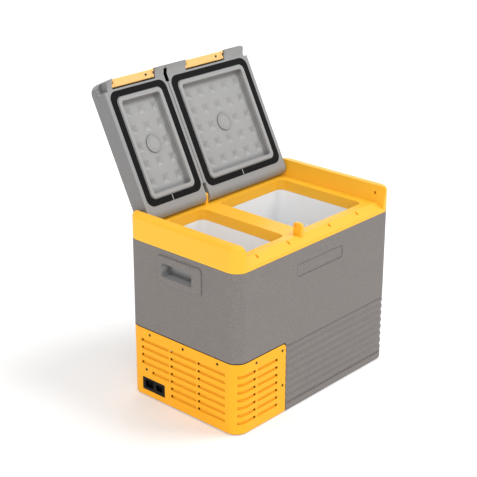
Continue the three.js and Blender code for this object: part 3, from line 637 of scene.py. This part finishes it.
def rim():
    arcs = 8
    rows = [(RIM_Z, 0)]
    for i in range(arcs + 1):
        a = math.pi / 2 * i / arcs
        rows.append((CHEEK_Z - CHEEK_ROUND * (1 - math.sin(a)), CHEEK_ROUND * (1 - math.cos(a))))
    body = stack(rows, outline)
    above = CHEEK_Z + 20
    lean = (CHEEK_TOP_X - CHEEK_FOOT_X) / (CHEEK_Z - LEDGE_Z)
    wide = CHEEK_FOOT_X + lean * (above - LEDGE_Z)
    foot = CHEEK_FOOT_X
    lid_zone = prism(
        [(-foot, LEDGE_Z), (foot, LEDGE_Z), (wide, above), (-wide, above)], "y", -HALF_W - 10, HALF_W + 10
    )
    tools = [lid_zone]
    for side, start in ((-1, SLOPE_Y), (1, BACK_SLOPE_Y)):
        edge = HALF_W + 1
        points = [
            (side * start, LEDGE_Z),
            (side * edge, LEDGE_Z - SLOPE_DROP),
            (side * (edge + 20), LEDGE_Z - SLOPE_DROP),
            (side * (edge + 20), LEDGE_Z + 5),
            (side * start, LEDGE_Z + 5),
        ]
        tools.append(prism(points, "x", -foot, foot))
    cut(body, *tools)
    for size, (x0, x1) in MOUTHS.items():
        grow = 3.5
        points = rounded_rect(
            x0 - grow, x1 + grow, -OPENING_Y - grow, OPENING_Y + grow, OPENING_RADIUS + grow
        )
        join(body, prism(points, "z", COLLAR_Z + 0.5, RIM_Z + 1))
    mouths = [
        prism(rounded_rect(x0, x1, -OPENING_Y, OPENING_Y, OPENING_RADIUS), "z", COLLAR_Z - 10, CHEEK_Z)
        for x0, x1 in MOUTHS.values()
    ]
    cut(body, *mouths)
    soften(body, 2.2, 4, 28)
    lugs = [lug(-176, -148, 497), lug(154, 186, 498)]
    join(body, *lugs)
    holes = []
    for y in (LATCH_Y, PIVOT_Y):
        for x0, x1 in ((-290, -263), (263, 290), (DIVIDER_X - 10, DIVIDER_X + 10)):
            holes.append(rod(x0, x1, y, PIVOT_Z, PIN_HOLE))
    for x in LEDGE_SLOTS:
        holes.append(box(x - 3, x + 3, -179, -169, LEDGE_Z - 14, LEDGE_Z + 3))
    y0, y1, z0, z1, radius = PANEL
    holes.append(prism(rounded_rect(y0, y1, z0, z1, radius, 6), "x", HALF_L - PANEL_DEPTH, HALF_L + 5))
    cut(body, *holes)
    smooth(body)
    return dress(body, "rim_moulding", "cabinet", ["rim_frame"], "yellow")


def lug(y0, y1, top):
    points = rounded_rect(y0, y1, LEDGE_Z - 22, top, 8, 8)
    made = prism(points, "x", DIVIDER_X - 4.5, DIVIDER_X + 4.5)
    return soften(made, 1.2, 3)


def liner(size):
    x0, x1 = MOUTHS[size]
    floor = FLOORS[size]
    top = COLLAR_Z + 0.2

    def plan(inset):
        return rounded_rect(
            x0 + inset, x1 - inset, -OPENING_Y + inset, OPENING_Y - inset, OPENING_RADIUS - inset
        )

    rows = [(top, 0)]
    fillet = 12
    steps = 6
    for i in range(steps + 1):
        a = math.pi / 2 * i / steps
        rows.append((floor + fillet * (1 - math.sin(a)), fillet * (1 - math.cos(a))))
    inner = stack(rows, plan)
    outer = stack([(floor - 2, -2), (top - 0.1, -2)], plan)
    cut(outer, inner)
    smooth(outer)
    return dress(outer, f"liner_{size}_skin", "cabinet", [f"liner_{size}"], "white")


# ------------------------------------------------------------------ machine bay cover


def louvre_z(row):
    z = LOUVRE_TOP_Z - row * LOUVRE_PITCH
    return z - LOUVRE_HEIGHT / 2, z + LOUVRE_HEIGHT / 2


def run_boxes(row, z0, z1, shorter, reach):
    runs = END_RUNS + ([INLET_RUNS[row]] if row < len(INLET_RUNS) else [])
    made = [box(-HALF_L - 5, -HALF_L + reach, y0 + shorter, y1 - shorter, z0, z1) for y0, y1 in runs]
    for x0, x1 in SIDE_RUNS:
        deep = 16 if x0 < -290 else reach
        for side in (-1, 1):
            ys = sorted((side * (HALF_W + 5), side * (HALF_W - deep)))
            made.append(box(x0 + shorter, x1 - shorter, *ys, z0, z1))
    return made


def louvre_blades(row):
    z0, z1 = louvre_z(row)
    foot = z0 - 1.5
    head = z1 + 2
    near = COVER_WALL - 0.6
    rows = [(foot, near), (head, BLADE_INSET), (head, BLADE_INSET + 1.2)]
    rows += [(head - 1, BLADE_INSET + 1.2), (foot, near + 2)]
    band = stack(rows, outline, closed=True)
    tools = run_boxes(row, foot - 1, head + 1, 4, 26)
    return common(band, join(*tools))


def on_face(screw, along):
    """Centre and axis of a screw, `along` millimetres in from its face."""
    face, at, z = screw
    if face == "left":
        return (-HALF_L + along, at, z), "x"
    if face == "front":
        return (at, -HALF_W + along, z), "y"
    return (at, HALF_W - along, z), "y"


def screw_tool(screw, radius, depth):
    (x, y, z), axis = on_face(screw, 0)
    sign = 1 if screw[0] in ("left", "front") else -1
    profile = [(0, -2 * sign), (radius, -2 * sign), (radius, depth * sign), (0, depth * sign)]
    return turned(profile, (x, y, z), axis, 20)


def cover_plan(inset):
    """The cabinet's plan with extra corners between the runs, so that no flat face holds two louvres."""
    x0, x1 = -HALF_L + inset, HALF_L - inset
    y0, y1 = -HALF_W + inset, HALF_W - inset
    r = CORNER - inset
    between = (SIDE_RUNS[0][1] + SIDE_RUNS[1][0]) / 2
    ends = [(END_RUNS[1][1] + INLET_RUNS[0][0]) / 2, (END_RUNS[0][1] + END_RUNS[1][0]) / 2]
    return (
        arc(x1 - r, y0 + r, r, -90, 0, 10)
        + arc(x1 - r, y1 - r, r, 0, 90, 10)
        + [(between, y1)]
        + arc(x0 + r, y1 - r, r, 90, 180, 10)
        + [(x0, y) for y in ends]
        + arc(x0 + r, y0 + r, r, 180, 270, 10)
        + [(between, y0)]
    )


def louvre_cover():
    levels = [LOUVRE_TOP_Z + (0.5 - row) * LOUVRE_PITCH for row in range(LOUVRE_ROWS + 1)]
    rows = [(0.6, 0.8), (1.4, 0)] + [(z, 0) for z in reversed(levels)] + [(COVER_TOP, 0)]
    rows += [(COVER_TOP, COVER_WALL)] + [(z, COVER_WALL) for z in levels] + [(0.6, COVER_WALL)]
    wrap = stack(rows, cover_plan, closed=True)
    common(wrap, bay_window(0))
    slots = [tool for row in range(LOUVRE_ROWS) for tool in run_boxes(row, *louvre_z(row), 0, 7)]
    y0, y1, z0, z1 = INLET
    window = prism(rounded_rect(y0, y1, z0, z1, 2.5, 5), "x", -HALF_L - 5, -HALF_L + 8)
    screws = [screw_tool(screw, 2.2, 10) for screw in COVER_SCREWS]
    screws += [screw_tool(screw, 4.2, 1.8) for screw in COVER_SCREWS]
    cut(wrap, *slots, window, *screws)
    soften(wrap, 0.6, 2, 40, merge=False)
    join(wrap, *[louvre_blades(row) for row in range(LOUVRE_ROWS)])
    smooth(wrap)
    dress(wrap, "louvre_skin", "cabinet", ["louvre_cover"], "amber")
    # The cover's cut edge facing the gap is painted black as painted shade in that gap.
    second_look(wrap, "black", faces_where(wrap, lambda v: past_cover(v) > COVER_CORNER - 0.05))
    return wrap


def screw_head(index, screw):
    (x, y, z), axis = on_face(screw, 0)
    sign = 1 if screw[0] in ("left", "front") else -1
    profile = [(0, 8), (1.8, 8), (1.8, 1.6), (3.8, 1.6), (3.8, 0.7), (3.4, 0.35), (2.4, 0.1), (0, 0)]
    made = turned([(r, sign * a) for r, a in profile], (x, y, z), axis, 24)
    reach = sorted((-1 * sign, 1 * sign))
    if axis == "x":
        slots = [
            box(x + reach[0], x + reach[1], y - 2.2, y + 2.2, z - 0.45, z + 0.45),
            box(x + reach[0], x + reach[1], y - 0.45, y + 0.45, z - 2.2, z + 2.2),
        ]
    else:
        slots = [
            box(x - 2.2, x + 2.2, y + reach[0], y + reach[1], z - 0.45, z + 0.45),
            box(x - 0.45, x + 0.45, y + reach[0], y + reach[1], z - 2.2, z + 2.2),
        ]
    cut(made, *slots)
    smooth(made)
    return dress(made, f"screw_{index}", "cabinet", [f"cover_screw_{index}"], "blackpaint")


# ------------------------------------------------------------------ handles


def handle(side):
    y0, y1, z0, z1, radius = HANDLE
    steps = 5
    rings = []
    for i in range(steps + 1):
        a = math.pi / 2 * i / steps
        inset = HANDLE_PROUD * (1 - math.cos(a))
        x = side * (HALF_L + GAP + (HANDLE_PROUD - GAP) * math.sin(a))
        foot = z0 + inset * HANDLE_UNDERCUT
        points = rounded_rect(y0 + inset, y1 - inset, foot, z1 - inset, radius - inset, 8)
        rings.append([(x, y, z) for y, z in points])
    bezel = loft(rings)
    inner = sorted((side * (HALF_L - GRIP_DEPTH - GRIP_WALL), side * (HALF_L + HANDLE_PROUD - 1)))
    gy0, gy1, gz0, gz1, gr = GRIP
    wall = GRIP_WALL
    cup = prism(rounded_rect(gy0 - wall, gy1 + wall, gz0 - wall, gz1 + wall, gr + wall, 6), "x", *inner)
    join(bezel, cup)
    cut(bezel, grip_box(side, 0))
    soften(bezel, 1.6, 4, 50)
    end = "left" if side < 0 else "right"
    dress(bezel, f"handle_{end}_skin", "cabinet", [f"handle_{end}"], "grey")
    depths = [(f.index, side * f.center.x / MM) for f in bezel.data.polygons]
    second_look(bezel, "tray", [index for index, depth in depths if depth < HALF_L - 2])


# ------------------------------------------------------------------ badge, inlet, control panel, feet


def badge_plate():
    """Plain sunk plate with a fine raised border."""
    x0, x1, z0, z1, radius = BADGE
    face = -HALF_W + 0.7

    def plan(inset):
        return rounded_rect(x0 + inset, x1 - inset, z0 + inset, z1 - inset, radius - inset)

    plate = prism(plan(1), "y", face, -HALF_W + 1.3)
    border = prism(plan(1), "y", face - 0.5, face + 0.2)
    cut(border, prism(plan(3), "y", face - 2, face + 2))
    join(plate, border)
    soften(plate, 0.15, 2)
    return dress(plate, "badge_skin", "cabinet", ["front_badge"], "grey")


def inlet_panel():
    """Black socket plate: a three-pin mains inlet and a two-blade low-voltage inlet, each in a collar."""
    y0, y1, z0, z1 = INLET
    x = -HALF_L + 1
    plan = rounded_rect(y0 + GAP, y1 - GAP, z0 + GAP, z1 - GAP, 2.2, 5)
    block = prism(plan, "x", x, x + 18)
    collars = [((108.5, 139.5, 24.5, 47.5, 4), (110, 138, 26, 46, 3))]
    collars.append(((74.5, 99.5, 26.5, 45.5, 3), (76, 98, 28, 44, 2)))
    for outer, inner in collars:
        join(block, prism(rounded_rect(*outer, 5), "x", x - 0.7, x + 1))
        cut(block, prism(rounded_rect(*inner, 5), "x", x - 2, x + 13))
    soften(block, 0.4, 2, 50)
    pins = [box(x + 4, x + 14, y - 1, y + 1, *PINS_Z) for y in MAINS_PINS_Y]
    pins += [box(x + 4, x + 14, y - 0.7, y + 0.7, *PINS_Z) for y in LOW_VOLTAGE_PINS_Y]
    join(block, *pins)
    smooth(block)
    return dress(block, "inlet_skin", "cabinet", ["inlet_panel"], "black")


def button_y(index):
    return (index - (len(BUTTONS) - 1) / 2) * BUTTON_PITCH


def control_panel():
    y0, y1, z0, z1, radius = PANEL
    plan = rounded_rect(y0 + GAP, y1 - GAP, z0 + GAP, z1 - GAP, radius, 8)
    plate = prism(plan, "x", HALF_L - PANEL_DEPTH + GAP, HALF_L)
    face = rounded_rect(y0 + 2.5, y1 - 2.5, z0 + 2.5, z1 - 2.5, 3, 8)
    recess = prism(face, "x", HALF_L - 0.5, HALF_L + 1)
    window = box(HALF_L - 2, HALF_L + 1, -45, 45, 470.5, 488.5)
    wells = [
        rod(HALF_L - 5.5, HALF_L + 1, button_y(i), BUTTON_Z, BUTTON_RADIUS + 0.4, 32)
        for i in range(len(BUTTONS))
    ]
    cut(plate, recess, window, *wells)
    soften(plate, 0.35, 2, 40)
    return dress(plate, "panel_skin", "cabinet", ["control_panel"], "black")


def display():
    pane = box(HALF_L - 1.7, HALF_L - 0.4, -44.7, 44.7, 470.8, 488.2)
    soften(pane, 0.4, 3)
    return dress(pane, "display_skin", "cabinet", ["display_window"], "glass")


def button(index, name):
    """Domed round key with a small raised mark."""
    x = HALF_L
    y = button_y(index)
    z = BUTTON_Z
    profile = [(0, x - 4), (BUTTON_RADIUS, x - 4), (BUTTON_RADIUS, x + 0.1), (5.6, x + 0.55)]
    profile += [(4.6, x + 0.8), (3.4, x + 0.75), (2.6, x + 0.45), (0, x + 0.35)]
    key = turned(profile, (0, y, z), "x", 40)
    join(key, box(x, x + 0.6, y - 1.6, y + 1.6, z - 0.4, z + 0.4))
    if name == "up":
        join(key, box(x, x + 0.6, y - 0.4, y + 0.4, z - 1.6, z + 1.6))
    smooth(key)
    return dress(key, f"key_{name}", f"{name}_button", [f"button_{name}"], "dark")


def foot(index, x, y):
    profile = [(0, -2), (6, -2), (6.4, -1.4), (8.6, -1.4), (9, -2), (15, -2), (16, -1), (16, 2), (0, 2)]
    pad = turned(profile, (x, y, 0), "z", 40)
    smooth(pad)
    return dress(pad, f"pad_{index}", "cabinet", [f"foot_{index}"], "rubber")


# ------------------------------------------------------------------ lids


def lid_section():
    fall = SLOPE_DROP / (HALF_W + 1 - SLOPE_Y)
    points = [(-SLOPE_Y, LID_BOTTOM)]
    points += arc(PIVOT_Y, PIVOT_Z, HINGE_END, -90, 90, 20)
    points += arc(LID_FRONT_Y + LID_ROUND, LID_TOP - LID_ROUND, LID_ROUND, 90, 180, 10)
    points.append((LID_FRONT_Y, LID_BOTTOM - fall * (-LID_FRONT_Y - SLOPE_Y)))
    return points


def open_out(obj):
    """Turns a piece modelled on the closed lid to the open rest position."""
    obj.data.transform(open_lid)
    obj.data.update()
    return obj


def lid_end_tools(outer):
    """What lies outside a lid's leaning outer end, narrow hinge end and rounded front corner."""
    low = LID_BOTTOM - 20
    high = LID_TOP + 10
    points = [
        (outer * (LID_FOOT_X + LID_LEAN * (low - LID_BOTTOM)), low),
        (outer * 320, low),
        (outer * 320, high),
        (outer * (LID_FOOT_X + LID_LEAN * (high - LID_BOTTOM)), high),
    ]
    wedge = prism(points, "y", -230, 230)
    narrow = box(*sorted((outer * LID_FOOT_X, outer * 320)), NARROW_Y, 230, low, high)
    cx = LID_FOOT_X - LID_CORNER
    cy = LID_FRONT_Y + LID_CORNER
    plan = [(cx, cy - LID_CORNER - 20), (320, cy - LID_CORNER - 20), (320, cy)]
    plan += arc(cx, cy, LID_CORNER, 0, -90, 16)
    corner = prism([(outer * x, y) for x, y in plan], "z", low, high)
    for vertex in corner.data.vertices:
        vertex.co.x += outer * LID_LEAN * (vertex.co.z - LID_BOTTOM * MM)
    return [wedge, narrow, corner]


def pin_spans(lid):
    outer = lid["outer"]
    latch_out = outer * (LID_FOOT_X + 3.8)
    latch_in = DIVIDER_X + outer * 9.5
    hinge_out = outer * HINGE_TIP_X
    hinge_in = DIVIDER_X + outer * 0.6
    return {
        ("latch", "outer"): (latch_out, latch_out - outer * PIN_DEPTH),
        ("latch", "inner"): (latch_in, latch_in + outer * PIN_DEPTH),
        ("hinge", "outer"): (hinge_out, hinge_out - outer * PIN_DEPTH),
        ("hinge", "inner"): (hinge_in, hinge_in + outer * 28),
    }


def lid_shell(size):
    lid = LIDS[size]
    outer = lid["outer"]
    body = prism(lid_section(), "x", *sorted((lid["inner"], outer * 300)))
    cut(body, *lid_end_tools(outer))
    tx0, tx1 = lid["tray"]
    pocket = prism(
        rounded_rect(tx0 - GAP, tx1 + GAP, -TRAY_Y - GAP, TRAY_Y + GAP, TRAY_RADIUS),
        "z",
        LID_BOTTOM - 20,
        LID_TOP - 3.5,
    )
    notches = [
        box(DIVIDER_X - 6, DIVIDER_X + 6, -180, -145, 440, 501),
        box(DIVIDER_X - 6, DIVIDER_X + 6, 141, 220, 440, 520),
    ]
    latch = lid["latch"]
    bay_x = (latch - LATCH_BAY_HALF, latch + LATCH_BAY_HALF)
    bays = [
        box(*bay_x, LID_FRONT_Y - 5, -163.5, 440, 500),
        box(*bay_x, LID_FRONT_Y - 5, -161.5, 440, 482),
    ]
    cut(body, pocket, *notches, *bays)
    soften(body, 1.8, 4, 34)
    tools = [gasket_band(lid, GAP, LID_BOTTOM - 5, LID_BOTTOM + 4)]
    tools.append(rod(latch - 81, latch + 81, *LATCH_AXLE))
    for (kind, end), (tip, root) in pin_spans(lid).items():
        away = 1 if tip > root else -1
        y = LATCH_Y if kind == "latch" else PIVOT_Y
        tools.append(rod(*sorted((tip + 20 * away, root - 2 * away)), y, PIVOT_Z, PIN_HOLE))
    ends = sorted((outer * 258, outer * 300))
    round_top = rod(*ends, -171.5, 476.5, 13, 40)
    tools.append(join(round_top, box(*ends, -184.5, -158.5, LID_BOTTOM - 20, 476.5)))
    cut(body, *tools)
    smooth(body)
    outside = [f.index for f in body.data.polygons if abs(f.normal.x) > 0.8 or f.normal.z > 0.5]
    # The faces in the front notch are painted black as painted shade in the notch.
    slot = faces_where(body, in_front_notch)
    open_out(body)
    dress(body, f"lid_{size}_skin", f"{size}_lid", [f"lid_{size}_shell"], "grey", "lid")
    second_look(body, "lid_outer", outside)
    second_look(body, "black", slot)


def in_front_notch(at):
    return abs(at.x - DIVIDER_X) < 6.2 and -180.2 < at.y < -144.8 and at.z < 501.2


def gasket_band(lid, clear, z0, z1):
    gx0, gx1 = lid["gasket"]
    outer = rounded_rect(gx0 - clear, gx1 + clear, -GASKET_Y - clear, GASKET_Y + clear, 24, 12)
    tx0, tx1 = lid["tray"]
    edge = 2.5 - clear
    inner = rounded_rect(tx0 - edge, tx1 + edge, -TRAY_Y - edge, TRAY_Y + edge, TRAY_RADIUS + 2, 12)
    return cut(prism(outer, "z", z0, z1), prism(inner, "z", z0 - 1, z1 + 1))


def gasket(size):
    band = gasket_band(LIDS[size], 0, 466.6, 471)
    soften(band, 1.8, 4, 40)
    open_out(band)
    return dress(band, f"gasket_{size}", f"{size}_lid", [f"lid_{size}_gasket"], "rubber")


def tray(size):
    """Inner liner of a lid: a raised rim, a recess, and a floor of pyramid dimples round a plain disc."""
    x0, x1 = LIDS[size]["tray"]
    plan = rounded_rect(x0, x1, -TRAY_Y, TRAY_Y, TRAY_RADIUS)
    body = prism(plan, "z", TRAY_BOTTOM, TRAY_TOP)
    rx0, rx1, ry = x0 + TRAY_RIM, x1 - TRAY_RIM, TRAY_Y - TRAY_RIM
    rows = []
    for z, inset in ((TRAY_BOTTOM - 1, 0), (TRAY_FACE - 1.5, 1.5), (TRAY_FACE, 3)):
        points = rounded_rect(rx0 + inset, rx1 - inset, -ry + inset, ry - inset, 7 - inset, 8)
        rows.append([(x, y, z) for x, y in points])
    cut(body, loft(rows))
    soften(body, 1.2, 3, 40)
    middle = (x0 + x1) / 2
    across = int((rx1 - middle - DIMPLE_HALF - DIMPLE_EDGE) / DIMPLE_PITCH)
    down = int((ry - DIMPLE_HALF - DIMPLE_EDGE) / DIMPLE_PITCH)
    for i in range(-across, across + 1):
        for j in range(-down, down + 1):
            if i or j:
                cut(body, dimple(middle + i * DIMPLE_PITCH, j * DIMPLE_PITCH))
    radius = DISC_RADIUS
    rise = TRAY_FACE - DISC_RISE
    profile = [(0, TRAY_FACE + 1), (radius, TRAY_FACE + 1), (radius, rise + 0.8), (radius - 0.8, rise)]
    profile += [(radius - 3, rise), (radius - 3.6, rise + 0.8), (radius - 8, rise + 0.8)]
    profile += [(radius - 8.5, rise + 0.3), (0, rise + 0.3)]
    join(body, turned(profile, (middle, 0, 0), "z", 48))
    smooth(body, 10)
    open_out(body)
    return dress(body, f"tray_{size}", f"{size}_lid", [f"lid_{size}_tray"], "tray")


def dimple(x, y):
    """An inverted pyramid with its mouth a little below the tray's face."""
    half = DIMPLE_HALF * 1.2
    mouth = TRAY_FACE - DIMPLE_DEPTH * 0.2
    corners = [(x - half, y - half), (x + half, y - half), (x + half, y + half), (x - half, y + half)]
    verts = [(a, b, mouth) for a, b in corners] + [(x, y, TRAY_FACE + DIMPLE_DEPTH)]
    faces = [(0, 1, 2, 3)] + [(i, (i + 1) % 4, 4) for i in range(4)]
    return mesh_object("tool", verts, faces)


def gasket_seam(size, x):
    """Glued butt joint in the seal's hinge-side run."""
    seam = box(x - 0.9, x + 0.9, TRAY_Y + 3, GASKET_Y - 0.6, 466.35, 469)
    soften(seam, 0.25, 2)
    open_out(seam)
    return dress(seam, f"seam_{size}", f"{size}_lid", [], "rubber", "seam")


def latch_bar(size):
    """Pull bar with a sunk front panel, a scored line near each end and a notch in each end."""
    x = LIDS[size]["latch"]
    points = [
        (-185.5, 461),
        (-167, 469),
        (-166, 471.5),
        (-166, 495),
        (-168, 497),
        (-183, 497),
        (-186, 495.5),
        (-187, 492),
        (-187, 462.5),
    ]
    bar = prism(points, "x", x - LATCH_BAR_HALF, x + LATCH_BAR_HALF)
    cut(bar, box(x - 62, x + 62, -190, -186.2, 467, 486))
    soften(bar, 1.0, 3, 20)
    tools = [rod(x - 84, x + 84, *LATCH_AXLE)]
    for side in (-1, 1):
        tools.append(box(x + side * 66 - 0.6, x + side * 66 + 0.6, -190, -160, 440, 480))
        tools.append(box(*sorted((x + side * 70, x + side * 80)), -181, -174, 440, 476))
    cut(bar, *tools)
    smooth(bar)
    open_out(bar)
    return dress(bar, f"latch_bar_{size}", f"{size}_latch", [f"lid_{size}_latch_bar"], "yellow", "latch")


def latch_screw(size):
    x = LIDS[size]["latch"] + 45
    profile = [(0, 464.2), (0.9, 464.2), (1.2, 463.6), (3.2, 463.6), (3.6, 464), (3.6, 468), (0, 468)]
    screw = turned(profile, (x, -177.5, 0), "z", 24)
    smooth(screw)
    open_out(screw)
    return dress(screw, f"latch_screw_{size}", f"{size}_latch", [], "blackpaint")


# ------------------------------------------------------------------ build

outer_shell()
rim()
for size in LIDS:
    liner(size)
    lid_shell(size)
    gasket(size)
    tray(size)
    latch_bar(size)
    latch_screw(size)
    gasket_seam(size, GASKET_SEAMS[size])
louvre_cover()
for number, screw in enumerate(COVER_SCREWS, 1):
    screw_head(number, screw)
for side in (-1, 1):
    handle(side)
badge_plate()
inlet_panel()
control_panel()
display()
for index, name in enumerate(BUTTONS):
    button(index, name)
for index, (side_x, side_y) in enumerate(((-1, -1), (1, -1), (-1, 1), (1, 1)), 1):
    foot(index, side_x * (HALF_L - FOOT_INSET), side_y * (HALF_W - FOOT_INSET))

# ------------------------------------------------------------------ floor, light, camera


def floor():
    z = cad_bounds[0][2] / MM
    made = box(-FLOOR_HALF, FLOOR_HALF, -FLOOR_HALF, FLOOR_HALF, z - 20, z - 0.5, "floor")
    glow = {"Emission_Color": (1, 1, 1, 1), "Emission_Strength": 0.12}
    white = (0.92, 0.92, 0.92)
    made.data.materials.append(
        moulded("floor_white", white, 0.8, grain=3, bump=0.02, vary=0.004, blotch=400, **glow)
    )


floor()

scene = bpy.context.scene
scene.view_settings.view_transform = "Standard"
scene.view_settings.look = "None"

world = bpy.data.worlds.new("studio")
world.use_nodes = True
world.node_tree.nodes["Background"].inputs["Color"].default_value = (1, 1, 1, 1)
seen = node(world.node_tree, "ShaderNodeLightPath")
backdrop = node(world.node_tree, "ShaderNodeMapRange")
backdrop.inputs["To Min"].default_value = WORLD_LIGHT
backdrop.inputs["To Max"].default_value = 1.0
world.node_tree.links.new(seen.outputs["Is Camera Ray"], backdrop.inputs["Value"])
world.node_tree.links.new(
    backdrop.outputs["Result"], world.node_tree.nodes["Background"].inputs["Strength"]
)
scene.world = world


def area_light(name, azimuth, elevation, distance, size, power):
    """A square soft light aimed at the cabinet; azimuth 0 is at the front, positive towards the right."""
    data = bpy.data.lights.new(name, "AREA")
    data.size = size
    data.energy = power
    lamp = bpy.data.objects.new(name, data)
    a, e = math.radians(azimuth), math.radians(elevation)
    direction = Vector((math.sin(a) * math.cos(e), -math.cos(a) * math.cos(e), math.sin(e)))
    target = Vector((0, 0, 0.35))
    lamp.location = target + direction * distance
    lamp.rotation_euler = (-direction).to_track_quat("-Z", "Y").to_euler()
    scene.collection.objects.link(lamp)


def soft_sun(name, toward, energy, angle):
    """A wide distant light; `toward` is the way it shines."""
    data = bpy.data.lights.new(name, "SUN")
    data.energy = energy
    data.angle = math.radians(angle)
    lamp = bpy.data.objects.new(name, data)
    lamp.rotation_euler = Vector(toward).to_track_quat("-Z", "Y").to_euler()
    scene.collection.objects.link(lamp)


soft_sun("key", (-0.42, 0.32, -0.85), 1.35, 28)
soft_sun("fill", (0.66, 0.5, -0.42), 0.85, 50)
area_light("rear", 132, 22, 3.2, 1.0, 9)

camera_data = bpy.data.cameras.new("camera")
camera_data.lens = CAMERA_LENS
camera_data.sensor_width = 36
camera = bpy.data.objects.new("camera", camera_data)
az, el = math.radians(CAMERA_AZIMUTH), math.radians(CAMERA_ELEVATION)
looking = Vector((math.sin(az) * math.cos(el), math.cos(az) * math.cos(el), -math.sin(el)))
camera.location = CAMERA_TARGET - looking * CAMERA_DISTANCE
turn = looking.to_track_quat("-Z", "Y").to_matrix().to_4x4()
camera.rotation_euler = (turn @ Matrix.Rotation(math.radians(CAMERA_ROLL), 4, "Z")).to_euler()
scene.collection.objects.link(camera)
scene.camera = camera
